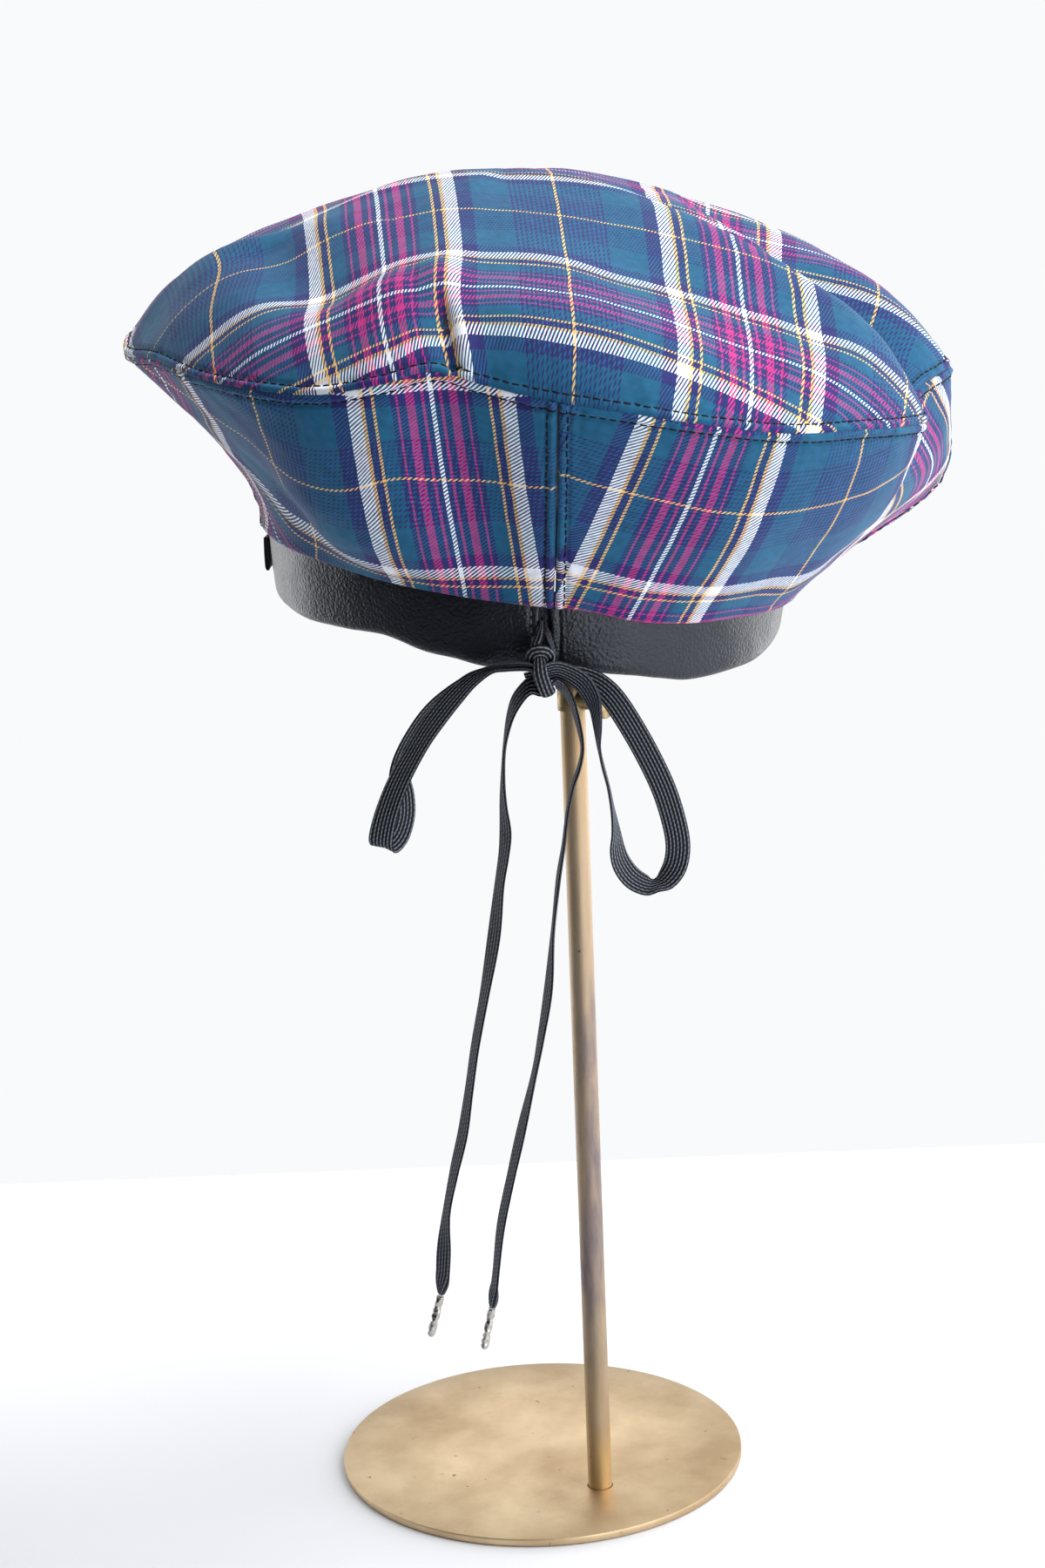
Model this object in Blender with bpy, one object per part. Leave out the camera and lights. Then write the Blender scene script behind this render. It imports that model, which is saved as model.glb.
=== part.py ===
"""A tartan tam o'shanter with a leather band and a lace bow, on a brass display stand.

The origin is the centre of the stand's foot, on the table. +Z is up, the back of the hat
with its bow faces -Y, and +X is the wearer's right. Sizes below are in millimetres.
"""
import bpy
import bmesh
import math
import numpy as np

MM = 0.001

# ---------------------------------------------------------------- driving dimensions, mm
BASE_DIAMETER = 156.0
BASE_THICKNESS = 2.8
POLE_DIAMETER = 9.0
POLE_X, POLE_Y = 21.4, -36.2
POLE_TOP = 311.0
ROD_DIAMETER = 6.0
CLAMP_LOW, CLAMP_HIGH = 302.0, 313.0
CLAMP_DIAMETER = 11.4
CLAMP_BEVEL = 0.4
SCREW_HEIGHT = 306.5
SCREW_TURN = -38.0          # the screw's direction, degrees from +X towards the viewer
HEAD_RADIUS = 40.0          # the domed head that fills the crown
HEAD_DOME = 15.0
HEAD_TOP = 484.0

HAT_X, HAT_Y = 9.5, -36.0   # upright axis of the hat
CROWN_X, CROWN_Y = 5.0, -33.0
CROWN_TOP = 492.0
CLOTH = 1.2                 # twill with its lining
BAND_HEIGHT = 26.0
LEATHER = 1.0
CASING = 1.9                # room for the lace between the band's two layers
SEAM_TURN = 3.2             # the back seam's place, degrees from the back
SLOT_TURN = 1.3             # the slot's place on the band, degrees from the back
SLOT_WIDTH = 2.8

LACE_WIDTH = 8.0
LACE_THICKNESS = 1.0
AGLET_DIAMETER = 2.8
AGLET_LENGTH = 14.5

GAP = 0.35                  # clearance between pieces that touch
COLUMNS = 64                # steps round the hat
CROWN_RINGS = 11
PANEL_ROWS = 7

# One row for each section of the hat. turn: degrees from the back, + to the wearer's right.
# rim: radius and height of the crown seam. belly: radius and height that the underside is
# drawn towards, and pull: how near it comes. hem: height of the underside's lower edge.
# band: height of the band's foot. top and low: the band's radius at its top and its foot.
# slope: the crown's fall, 1 is a cone and 2 a dome. edge: share of it at the rounded rim.
SECTION_COLUMNS = ("turn", "rim_r", "rim_z", "belly_r", "belly_z", "pull", "hem_z",
                   "band_z", "top_r", "low_r", "slope", "edge")
SECTIONS = (
    (-180, 144.0, 425.5, 127.0, 392.0, 0.80, 361.0, 342.0, 92.5, 90.5, 1.55, 0.30),
    (-150, 141.5, 430.5, 124.0, 395.0, 0.80, 366.0, 345.5, 92.5, 90.5, 1.45, 0.30),
    (-120, 139.5, 436.0, 108.0, 396.0, 0.80, 370.5, 349.0, 92.5, 90.5, 1.40, 0.32),
    (-90, 139.0, 438.5, 95.0, 391.5, 0.82, 372.0, 350.5, 93.0, 91.0, 1.38, 0.34),
    (-76, 139.0, 434.5, 94.0, 390.0, 0.84, 371.5, 348.5, 93.0, 91.5, 1.45, 0.34),
    (-58, 141.0, 434.0, 99.0, 389.0, 0.86, 368.0, 344.5, 93.0, 91.0, 1.65, 0.32),
    (-45, 145.5, 429.0, 110.0, 391.0, 0.86, 364.5, 343.0, 92.5, 90.5, 1.55, 0.28),
    (-35, 148.0, 426.0, 125.0, 385.0, 0.82, 361.5, 342.0, 92.5, 90.5, 1.45, 0.25),
    (-25, 147.0, 424.5, 126.0, 384.0, 0.80, 358.5, 337.5, 92.5, 90.5, 1.38, 0.24),
    (-18, 144.5, 427.0, 121.0, 385.0, 0.80, 356.5, 335.5, 92.5, 90.5, 1.33, 0.23),
    (-12, 140.0, 430.0, 113.0, 387.0, 0.80, 355.0, 333.0, 92.5, 90.5, 1.20, 0.26),
    (-6, 138.5, 425.5, 112.0, 387.0, 0.80, 353.5, 332.0, 92.5, 90.5, 1.12, 0.30),
    (0, 140.0, 421.5, 118.0, 386.0, 0.80, 352.0, 331.0, 92.5, 90.5, 1.10, 0.31),
    (10, 143.0, 416.5, 122.0, 382.0, 0.80, 349.5, 329.5, 92.5, 90.5, 1.14, 0.28),
    (20, 145.0, 411.5, 125.0, 378.0, 0.80, 345.0, 327.5, 92.5, 90.5, 1.18, 0.26),
    (33, 146.5, 406.5, 131.0, 374.0, 0.84, 342.5, 323.5, 92.5, 90.5, 1.25, 0.23),
    (45, 147.5, 405.5, 132.0, 375.0, 0.92, 342.0, 324.5, 92.5, 90.5, 1.27, 0.24),
    (56, 148.0, 404.5, 134.0, 377.0, 1.00, 341.5, 326.0, 92.0, 90.0, 1.28, 0.25),
    (62, 146.5, 404.5, 134.0, 378.0, 1.02, 341.5, 328.0, 92.0, 89.5, 1.27, 0.25),
    (69, 134.5, 408.5, 134.0, 379.0, 1.04, 341.5, 330.5, 92.0, 88.5, 1.26, 0.26),
    (76, 138.0, 414.5, 138.0, 381.0, 1.07, 341.5, 332.5, 92.0, 87.0, 1.23, 0.28),
    (84, 146.0, 418.5, 143.0, 381.0, 1.10, 342.0, 333.0, 92.0, 86.0, 1.20, 0.28),
    (95, 146.5, 420.0, 151.0, 376.5, 1.15, 343.0, 333.0, 92.0, 86.5, 1.20, 0.32),
    (120, 147.0, 421.0, 146.0, 373.0, 1.10, 348.0, 335.0, 92.0, 87.5, 1.40, 0.45),
    (150, 146.0, 422.0, 136.0, 383.0, 0.95, 355.0, 338.5, 92.0, 89.0, 1.50, 0.38),
)
EDGE_POWER = 9.0            # how suddenly the rounded rim falls; more is steeper
WALL_POWER = 26.0           # the same over the back seam, where the cloth drops like a wall
WALL_TURN, WALL_REACH = 2.0, 16.0
CENTRE_ROUND = 0.12         # rounding of the crown's middle, as a share of its radius

# Folds of the crown: a line in plan from the first point to the second, its height at each
# end (below zero is a valley), and how wide it is on its left and on its right.
FOLD_COLUMNS = ("x0", "y0", "x1", "y1", "high0", "high1", "left", "right")
FOLDS = (
    (76.0, -26.0, 136.0, -84.0, -4.0, -17.0, 17.0, 9.0),     # deep fold behind the right lobe
    (62.0, -62.0, 134.0, -104.0, 1.0, 6.0, 8.0, 20.0),       # swell of the right lobe
    (-40.0, -72.0, -128.0, -52.0, -1.0, -7.0, 10.0, 14.0),   # valley behind the left lobe
    (-46.0, -92.0, -118.0, -72.0, 2.0, 4.0, 16.0, 9.0),      # swell of the left lobe
    (-22.0, -148.0, -70.0, -142.0, 6.0, 3.0, 12.0, 14.0),    # pillow over the seam, left of the pinch
    (-15.0, -174.0, -26.0, -140.0, -7.0, -1.0, 5.0, 6.0),    # pinch at the seam
    (-72.0, -90.0, -54.0, -136.0, -8.5, -7.5, 15.0, 15.0),   # sunk cloth left of the pinch
    (104.0, -142.0, 118.0, -124.0, 5.0, 4.0, 14.0, 14.0),    # round of the right lobe
    (45.0, -120.0, 96.0, -112.0, -5.0, -5.0, 26.0, 26.0),    # broad hollow on the right
    (-38.0, -150.0, -46.0, -92.0, -1.5, -2.5, 15.0, 15.0),   # shallow hollow on the left
)

# The lace, a row for each point of its route: place of its middle, then the way that its
# width faces.
ROUTE_COLUMNS = ("x", "y", "z", "width_x", "width_y", "width_z")
LOOP_LEFT = (
    (4.4, -137.2, 333.9, 0.00, -1.00, 0.00),
    (-1.6, -137.6, 334.1, 0.02, -1.00, -0.03),
    (-6.6, -138.4, 333.9, 0.12, -0.98, -0.10),
    (-12.6, -140.2, 331.3, 0.34, -0.85, -0.38),
    (-18.6, -141.6, 326.0, 0.50, -0.68, -0.52),
    (-23.8, -142.6, 320.2, 0.58, -0.62, -0.52),
    (-28.2, -143.3, 314.4, 0.62, -0.66, -0.42),
    (-32.2, -143.8, 308.2, 0.66, -0.66, -0.34),
    (-35.9, -144.2, 302.2, 0.76, -0.56, -0.32),
    (-39.0, -144.4, 296.0, 0.84, -0.48, -0.25),
    (-41.7, -144.5, 289.0, 0.92, -0.36, -0.15),
    (-43.4, -144.2, 282.8, 0.96, -0.20, -0.20),
    (-43.6, -142.8, 279.4, 0.96, -0.10, -0.25),
    (-41.6, -140.2, 278.6, 0.95, 0.05, -0.28),
    (-38.4, -138.0, 281.6, 0.94, 0.20, -0.10),
    (-36.4, -136.8, 287.4, 0.94, 0.30, 0.00),
    (-36.2, -136.4, 293.6, 0.92, 0.38, 0.05),
    (-37.0, -136.2, 300.0, 0.84, 0.52, 0.00),
    (-35.6, -136.1, 306.0, 0.72, 0.62, -0.28),
    (-31.6, -136.1, 313.4, 0.62, 0.66, -0.42),
    (-26.0, -136.2, 321.0, 0.52, 0.72, -0.46),
    (-19.4, -136.4, 327.0, 0.40, 0.80, -0.42),
    (-11.4, -136.8, 332.6, 0.20, 0.94, -0.26),
    (-4.2, -137.0, 335.3, 0.03, 1.00, -0.05),
    (4.4, -137.0, 335.6, 0.00, 1.00, 0.00),
)
LOOP_RIGHT = (
    (15.2, -133.6, 331.4, 0.10, -0.66, 0.74),
    (19.2, -133.9, 330.9, 0.24, -0.50, 0.83),
    (23.6, -134.6, 329.6, 0.38, -0.30, 0.87),
    (28.0, -135.8, 327.3, 0.54, -0.14, 0.83),
    (32.2, -137.0, 323.2, 0.72, -0.05, 0.68),
    (36.8, -138.2, 316.0, 0.86, 0.00, 0.50),
    (42.4, -139.2, 305.4, 0.90, -0.04, 0.42),
    (47.4, -139.9, 293.9, 0.94, -0.06, 0.30),
    (50.4, -140.2, 283.4, 0.97, -0.08, 0.18),
    (51.6, -140.5, 275.2, 0.99, -0.10, -0.02),
    (50.6, -140.8, 268.6, 0.90, -0.26, -0.34),
    (47.6, -141.1, 263.9, 0.56, -0.66, -0.50),
    (44.2, -141.4, 262.1, 0.16, -0.94, -0.30),
    (41.0, -141.6, 262.3, -0.14, -0.72, -0.66),
    (36.6, -141.8, 265.0, -0.46, -0.56, -0.66),
    (33.4, -142.1, 269.6, -0.66, -0.62, -0.42),
    (32.0, -142.4, 274.6, -0.62, -0.76, -0.10),
    (31.7, -142.8, 280.4, -0.36, -0.93, 0.02),
    (31.0, -143.0, 287.0, -0.14, -0.99, 0.00),
    (29.8, -143.2, 295.4, -0.03, -1.00, 0.00),
    (28.2, -143.4, 302.6, -0.03, -1.00, 0.00),
    (27.1, -143.5, 309.0, 0.06, -1.00, 0.00),
    (26.9, -143.5, 315.0, 0.28, -0.96, 0.02),
    (26.5, -143.2, 320.6, 0.46, -0.88, 0.10),
    (25.2, -142.6, 325.2, 0.60, -0.64, 0.46),
    (22.0, -141.4, 329.8, 0.50, -0.52, 0.70),
    (15.6, -139.6, 333.2, 0.20, -0.60, 0.76),
)
TAIL_LEFT = (
    (5.2, -137.4, 327.6, 0.30, -0.84, -0.44),
    (1.6, -137.2, 323.6, 0.32, -0.90, -0.28),
    (-1.0, -136.9, 317.4, 0.18, -0.97, -0.12),
    (-2.9, -136.4, 308.4, 0.03, -1.00, 0.00),
    (-3.8, -136.1, 298.2, 0.10, -1.00, 0.00),
    (-4.0, -135.9, 289.6, 0.26, -0.96, 0.00),
    (-3.7, -135.8, 280.6, 0.46, -0.88, 0.00),
    (-4.6, -135.7, 272.6, 0.40, -0.91, 0.00),
    (-6.4, -135.6, 262.6, 0.36, -0.93, 0.00),
    (-8.9, -135.4, 245.5, 0.50, -0.86, 0.00),
    (-12.8, -135.3, 226.0, 0.34, -0.94, 0.00),
    (-16.5, -135.3, 208.8, 0.30, -0.95, 0.00),
    (-19.0, -135.3, 194.6, 0.30, -0.95, 0.00),
    (-21.8, -135.4, 179.3, 0.38, -0.92, 0.00),
    (-25.3, -135.4, 165.8, 0.33, -0.94, 0.00),
    (-28.4, -135.5, 151.9, 0.28, -0.96, 0.00),
    (-30.0, -135.5, 138.0, 0.60, -0.80, 0.00),
    (-30.9, -135.5, 128.0, 0.55, -0.83, 0.00),
    (-31.6, -135.5, 123.0, 0.40, -0.92, 0.00),
)
TAIL_RIGHT = (
    (14.8, -136.6, 328.6, 0.10, -0.97, 0.22),
    (18.2, -136.8, 324.6, 0.08, -0.99, 0.12),
    (20.3, -136.7, 318.2, 0.04, -1.00, 0.03),
    (21.6, -136.6, 311.6, 0.02, -1.00, 0.00),
    (22.0, -136.4, 306.4, 0.02, -1.00, 0.00),
    (20.8, -136.3, 300.8, 0.02, -1.00, 0.00),
    (18.6, -136.1, 294.8, 0.02, -1.00, 0.00),
    (16.6, -136.0, 286.4, 0.02, -1.00, 0.00),
    (14.9, -135.9, 275.2, 0.03, -1.00, 0.00),
    (12.8, -135.8, 264.0, 0.08, -1.00, 0.00),
    (10.5, -135.6, 247.3, 0.04, -1.00, 0.00),
    (8.3, -135.5, 227.7, 0.28, -0.95, 0.00),
    (5.2, -135.4, 210.9, 0.20, -0.98, 0.00),
    (2.4, -135.4, 198.0, 0.12, -0.99, 0.00),
    (-2.4, -135.4, 179.5, 0.30, -0.95, 0.00),
    (-6.4, -135.4, 163.8, 0.28, -0.95, 0.00),
    (-10.6, -135.4, 146.0, 0.28, -0.95, 0.00),
    (-13.0, -135.4, 129.0, 0.22, -0.97, 0.00),
    (-14.6, -135.4, 117.6, 0.30, -0.95, 0.00),
)
STRAND_LEFT = (
    (11.0, -126.4, 345.5, 0.00, 0.00, 1.00),
    (10.8, -129.6, 345.4, 0.25, 0.00, 0.96),
    (10.2, -132.6, 343.6, 0.75, -0.10, 0.60),
    (9.6, -134.2, 339.6, 1.00, 0.00, 0.00),
)
STRAND_RIGHT = (
    (12.4, -126.4, 345.5, 0.00, 0.00, 1.00),
    (12.6, -130.4, 345.6, 0.00, 0.30, 0.95),
    (13.7, -133.4, 342.6, 0.10, 0.80, 0.60),
    (13.6, -134.8, 338.4, 0.05, 1.00, 0.10),
    (11.4, -135.2, 334.6, 0.05, 1.00, -0.10),
)
# The knot's two lobes: centre, then half sizes.
KNOT_LOBES = (
    ((9.3, -135.4, 338.4), (4.2, 4.4, 3.7)),
    ((10.2, -137.0, 330.6), (3.8, 4.1, 6.0)),
)
# Each aglet: its near end, then its far end.
AGLET_LEFT = ((-31.8, -135.5, 122.3), (-35.8, -135.5, 108.0))
AGLET_RIGHT = ((-14.8, -135.4, 116.9), (-18.0, -135.4, 103.0))


# ---------------------------------------------------------------- meshes and materials
def material(name, colour, roughness, metallic=0.0):
    """A Principled material; colour is linear RGB."""
    found = bpy.data.materials.new(name)
    found.use_nodes = True
    shader = found.node_tree.nodes["Principled BSDF"]
    shader.inputs["Base Color"].default_value = (*colour, 1.0)
    shader.inputs["Roughness"].default_value = roughness
    shader.inputs["Metallic"].default_value = metallic
    found.diffuse_color = (*colour, 1.0)
    return found


def link(name, mesh, finish, smooth_angle=40.0):
    """Put a mesh into the scene under the piece's name."""
    thing = bpy.data.objects.new(name, mesh)
    mesh.materials.append(finish)
    mesh.shade_smooth()
    mesh.set_sharp_from_angle(angle=math.radians(smooth_angle))
    bpy.context.scene.collection.objects.link(thing)
    return thing


def mesh_of(name, points, faces):
    """A mesh from points in millimetres, with its faces turned outwards."""
    mesh = bpy.data.meshes.new(name)
    mesh.from_pydata([tuple(float(c) * MM for c in p) for p in points], [], faces)
    work = bmesh.new()
    work.from_mesh(mesh)
    bmesh.ops.recalc_face_normals(work, faces=work.faces)
    if work.calc_volume(signed=True) < 0:
        bmesh.ops.reverse_faces(work, faces=work.faces)
    work.to_mesh(mesh)
    work.free()
    return mesh


def wall(name, outer, inner, finish, ring=False, cap=False):
    """A closed wall between two grids of points, rows by columns.

    ring joins the last column to the first. cap closes the first row to one middle point.
    """
    rows, columns = outer.shape[:2]
    points = list(outer.reshape(-1, 3)) + list(inner.reshape(-1, 3))
    second = rows * columns

    def at(layer, i, j):
        return layer * second + i * columns + j % columns

    faces = []
    steps = columns if ring else columns - 1
    for j in range(steps):
        for i in range(rows - 1):
            for layer in (0, 1):
                faces.append((at(layer, i, j), at(layer, i, j + 1),
                              at(layer, i + 1, j + 1), at(layer, i + 1, j)))
        ends = (rows - 1,) if cap else (0, rows - 1)
        for i in ends:
            faces.append((at(0, i, j), at(0, i, j + 1), at(1, i, j + 1), at(1, i, j)))
    if not ring:
        for j in (0, columns - 1):
            for i in range(rows - 1):
                faces.append((at(0, i, j), at(0, i + 1, j), at(1, i + 1, j), at(1, i, j)))
    if cap:
        for layer, grid in ((0, outer), (1, inner)):
            points.append(grid[0].mean(axis=0))
            middle = len(points) - 1
            for j in range(steps):
                faces.append((middle, at(layer, 0, j), at(layer, 0, j + 1)))
    return link(name, mesh_of(name, points, faces), finish)


def turned(name, profile, finish, centre=(0.0, 0.0), sides=32):
    """A solid of revolution: profile is a list of (radius, height), closed on the axis."""
    angles = np.arange(sides) * 2 * math.pi / sides
    points = []
    for radius, height in profile[1:-1]:
        for angle in angles:
            points.append((centre[0] + radius * math.cos(angle),
                           centre[1] + radius * math.sin(angle), height))
    low, high = len(points), len(points) + 1
    points.append((*centre, profile[0][1]))
    points.append((*centre, profile[-1][1]))
    rings = len(profile) - 2
    faces = []
    for j in range(sides):
        k = (j + 1) % sides
        faces.append((low, j, k))
        faces.append((high, (rings - 1) * sides + k, (rings - 1) * sides + j))
        for i in range(rings - 1):
            faces.append((i * sides + j, (i + 1) * sides + j, (i + 1) * sides + k, i * sides + k))
    return link(name, mesh_of(name, points, faces), finish)


def boolean(thing, tool, operation):
    """Add, cut or unite another solid, and drop the tool."""
    change = thing.modifiers.new(operation.title(), "BOOLEAN")
    change.operation = operation
    change.solver = "EXACT"
    change.object = tool
    bpy.context.view_layer.update()
    graph = bpy.context.evaluated_depsgraph_get()
    result = bpy.data.meshes.new_from_object(thing.evaluated_get(graph))
    thing.modifiers.clear()
    thing.data = result
    bpy.data.objects.remove(tool, do_unlink=True)
    return thing


# ---------------------------------------------------------------- the hat's form
def section(column):
    """A smooth closed curve through one column of SECTIONS, as a function of the turn."""
    at = SECTION_COLUMNS.index(column)
    turns = np.array([row[0] for row in SECTIONS], float)
    values = np.array([row[at] for row in SECTIONS], float)
    turns = np.concatenate([turns[-2:] - 360.0, turns, turns[:2] + 360.0])
    values = np.concatenate([values[-2:], values, values[:2]])
    slopes = np.gradient(values, turns)

    def value(turn):
        turn = (np.asarray(turn, float) + 180.0) % 360.0 - 180.0
        k = np.clip(np.searchsorted(turns, turn, side="right") - 1, 0, len(turns) - 2)
        width = turns[k + 1] - turns[k]
        t = (turn - turns[k]) / width
        return ((2 * t**3 - 3 * t**2 + 1) * values[k] + (t**3 - 2 * t**2 + t) * width * slopes[k]
                + (3 * t**2 - 2 * t**3) * values[k + 1] + (t**3 - t**2) * width * slopes[k + 1])

    return value


SECTION = {column: section(column) for column in SECTION_COLUMNS[1:]}


def around(turn, radius, height):
    """Points about the hat's axis; turn 0 is the back."""
    angle = np.radians(turn)
    return np.stack([HAT_X + radius * np.sin(angle), HAT_Y - radius * np.cos(angle),
                     height + 0 * angle], axis=-1)


def fold_height(x, y):
    """How far the folds lift or sink the crown at a place in plan."""
    total = 0 * x
    for x0, y0, x1, y1, high0, high1, left, right in FOLDS:
        length = math.hypot(x1 - x0, y1 - y0)
        ux, uy = (x1 - x0) / length, (y1 - y0) / length
        along = ((x - x0) * ux + (y - y0) * uy) / length
        beside = -(x - x0) * uy + (y - y0) * ux
        inside = np.clip(along, 0.0, 1.0)
        beyond = (along - inside) * length
        width = np.where(beside > 0, left, right)
        total = total + (high0 + (high1 - high0) * inside) * np.exp(
            -(beside / width) ** 2 - (beyond / (0.8 * width)) ** 2)
    return total


def crown(turn, share):
    """The crown's outer face: share 0 is its middle, 1 the seam at the rim."""
    turn, share = np.broadcast_arrays(np.asarray(turn, float), np.asarray(share, float))
    rim = around(turn, SECTION["rim_r"](turn), SECTION["rim_z"](turn))
    rounded = (np.sqrt(share**2 + CENTRE_ROUND**2) - CENTRE_ROUND) / (
        math.sqrt(1 + CENTRE_ROUND**2) - CENTRE_ROUND)
    edge = SECTION["edge"](turn)
    off_wall = (turn - 360.0 * np.round(turn / 360.0) - WALL_TURN) / WALL_REACH
    power = EDGE_POWER + (WALL_POWER - EDGE_POWER) * np.exp(-off_wall**2)
    fall = (1 - edge) * rounded ** SECTION["slope"](turn) + edge * share**power
    x = CROWN_X + (rim[..., 0] - CROWN_X) * share
    y = CROWN_Y + (rim[..., 1] - CROWN_Y) * share
    z = CROWN_TOP + (rim[..., 2] - CROWN_TOP) * fall + fold_height(x, y) * (1 - share**16)
    return np.stack([x, y, z], axis=-1)


def underside(turn, share):
    """The underside's outer face: share 0 is the seam at the rim, 1 the hem on the band."""
    turn, share = np.broadcast_arrays(np.asarray(turn, float), np.asarray(share, float))
    t = share[..., None]
    hem_radius = band_radius(turn, SECTION["hem_z"](turn)) + 2 * GAP + CLOTH
    rim = around(turn, SECTION["rim_r"](turn), SECTION["rim_z"](turn))
    hem = around(turn, hem_radius, SECTION["hem_z"](turn))
    belly = around(turn, SECTION["belly_r"](turn), SECTION["belly_z"](turn))
    pull = SECTION["pull"](turn)[..., None]
    upper = rim + (belly - rim) * pull
    lower = hem + (belly - hem) * pull
    return ((1 - t)**3 * rim + 3 * t * (1 - t)**2 * upper
            + 3 * t**2 * (1 - t) * lower + t**3 * hem)


def band_radius(turn, height):
    """The leather band's outer radius: it widens a little upwards."""
    share = np.clip((height - SECTION["band_z"](turn)) / BAND_HEIGHT, 0.0, 1.0)
    low = SECTION["low_r"](turn)
    return low + (SECTION["top_r"](turn) - low) * share


def normals(grid, ring):
    """Unit normals of a grid of points, by differences along its rows and columns.

    Turns run along the rows and the rows run outwards or down, so they point into the hat.
    """
    down = np.gradient(grid, axis=0)
    if ring:
        across = (np.roll(grid, -1, axis=1) - np.roll(grid, 1, axis=1)) / 2
    else:
        across = np.gradient(grid, axis=1)
    cross = np.cross(across, down)
    size = np.linalg.norm(cross, axis=-1, keepdims=True)
    return cross / np.maximum(size, 1e-9)


def lined(outer, ring, mitres):
    """The inner face of a cloth wall: outer moved in by the cloth's thickness.

    At the rows in mitres it is moved level towards the hat's axis, so that neighbours meet
    face to face.
    """
    inward = normals(outer, ring) * CLOTH
    for row in mitres:
        level = np.array([HAT_X, HAT_Y, 0.0]) - outer[row]
        level[..., 2] = 0.0
        inward[row] = level / np.linalg.norm(level, axis=-1, keepdims=True) * CLOTH
    return outer + inward


def crown_panel(finish):
    turns = SEAM_TURN + np.arange(COLUMNS) * 360.0 / COLUMNS
    shares = (np.arange(CROWN_RINGS) + 1.0) / CROWN_RINGS
    shares = shares ** 0.72
    outer = crown(turns[None, :], shares[:, None])
    inner = lined(outer, True, (CROWN_RINGS - 1,))
    outer[-1, :, 2] += GAP / 2
    inner[-1, :, 2] += GAP / 2
    return wall("crown_panel", outer, inner, finish, ring=True, cap=True)


def under_panel(name, first, finish):
    """A quarter of the underside from one turn on, clear of its neighbours."""
    turns = first + np.linspace(0.0, 90.0, COLUMNS // 4 + 1)
    shares = np.linspace(0.0, 1.0, PANEL_ROWS + 1)
    outer = underside(turns[None, :], shares[:, None])
    inner = lined(outer, False, (0, PANEL_ROWS))
    for grid in (outer, inner):
        grid[0, :, 2] -= GAP / 2
        for column, side in ((0, 1.0), (-1, -1.0)):
            angle = math.radians(turns[column])
            grid[:, column, 0] += side * math.cos(angle) * GAP / 2
            grid[:, column, 1] += side * math.sin(angle) * GAP / 2
    return wall(name, outer, inner, finish)


def band_turns():
    """The band's columns, from one side of the slot round to the other."""
    half = math.degrees(SLOT_WIDTH / 2 / SECTION["top_r"](SLOT_TURN))
    first = SLOT_TURN + half
    last = SLOT_TURN + 360.0 - half
    return np.linspace(first, last, COLUMNS + 1)


def casing_points(turns, depth, height):
    """A line round the band, depth in from its outer face and height above its edge."""
    low = SECTION["band_z"](turns)
    radius = band_radius(turns, low + height) - depth
    return around(turns, radius, low + height)


def leather_band(finish):
    turns = band_turns()
    full = 2 * LEATHER + CASING
    outer_line = ((0.0, BAND_HEIGHT), (0.0, 3.0), (0.9, 0.7), (full / 2, 0.0),
                  (full - 0.9, 0.7), (full, 3.0), (full, BAND_HEIGHT))
    inner_line = ((LEATHER, BAND_HEIGHT), (LEATHER, 3.6), (LEATHER + 0.4, 2.4),
                  (full / 2, 2.0), (full - LEATHER - 0.4, 2.4), (full - LEATHER, 3.6),
                  (full - LEATHER, BAND_HEIGHT))
    outer = np.stack([casing_points(turns, depth, height) for depth, height in outer_line])
    inner = np.stack([casing_points(turns, depth, height) for depth, height in inner_line])
    return wall("leather_band", outer, inner, finish)


def draw_lace(finish):
    turns = band_turns()
    end = math.degrees(1.2 / SECTION["top_r"](SLOT_TURN))
    turns[0] += end
    turns[-1] -= end
    near = LEATHER + (CASING - LACE_THICKNESS) / 2
    heights = (10.5, 10.5 + LACE_WIDTH)
    outer = np.stack([casing_points(turns, near, height) for height in heights])
    inner = np.stack([casing_points(turns, near + LACE_THICKNESS, height) for height in heights])
    return wall("draw_lace", outer, inner, finish)


def side_tag(finish):
    """A folded cloth tab that hangs from the hem over the band's left side."""
    turns = np.linspace(-96.5, -84.5, 4)
    low, high = 356.8, 367.6
    outer, inner = [], []
    for height in (high, (low + high) / 2, low):
        radius = band_radius(turns, height) + GAP
        outer.append(around(turns, radius + 2.1, height))
        inner.append(around(turns, radius, height))
    return wall("side_tag", np.stack(outer), np.stack(inner), finish)


# ---------------------------------------------------------------- the lace
def smooth_route(rows, steps):
    """A smooth curve through a route's rows, with steps samples between two of them."""
    rows = np.array(rows, float)
    rows = np.vstack([2 * rows[0] - rows[1], rows, 2 * rows[-1] - rows[-2]])
    samples = []
    for k in range(1, len(rows) - 2):
        before, here, there, after = rows[k - 1:k + 3]
        for t in np.arange(steps) / steps:
            samples.append(0.5 * (2 * here + (there - before) * t
                                  + (2 * before - 5 * here + 4 * there - after) * t**2
                                  + (3 * here - before - 3 * there + after) * t**3))
    samples.append(rows[-2])
    return np.array(samples)


def ribbon_grids(rows, steps, width=LACE_WIDTH, thickness=LACE_THICKNESS):
    """The two faces of a flat lace along a route, each two edges by its samples."""
    samples = smooth_route(rows, steps)
    middle, across = samples[:, :3], samples[:, 3:]
    along = np.gradient(middle, axis=0)
    along /= np.linalg.norm(along, axis=1, keepdims=True)
    across = across - along * (across * along).sum(axis=1, keepdims=True)
    across /= np.linalg.norm(across, axis=1, keepdims=True)
    face = np.cross(along, across) * thickness / 2
    edge = across * width / 2
    front = np.stack([middle - edge + face, middle + edge + face])
    back = np.stack([middle - edge - face, middle + edge - face])
    return front, back


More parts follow.
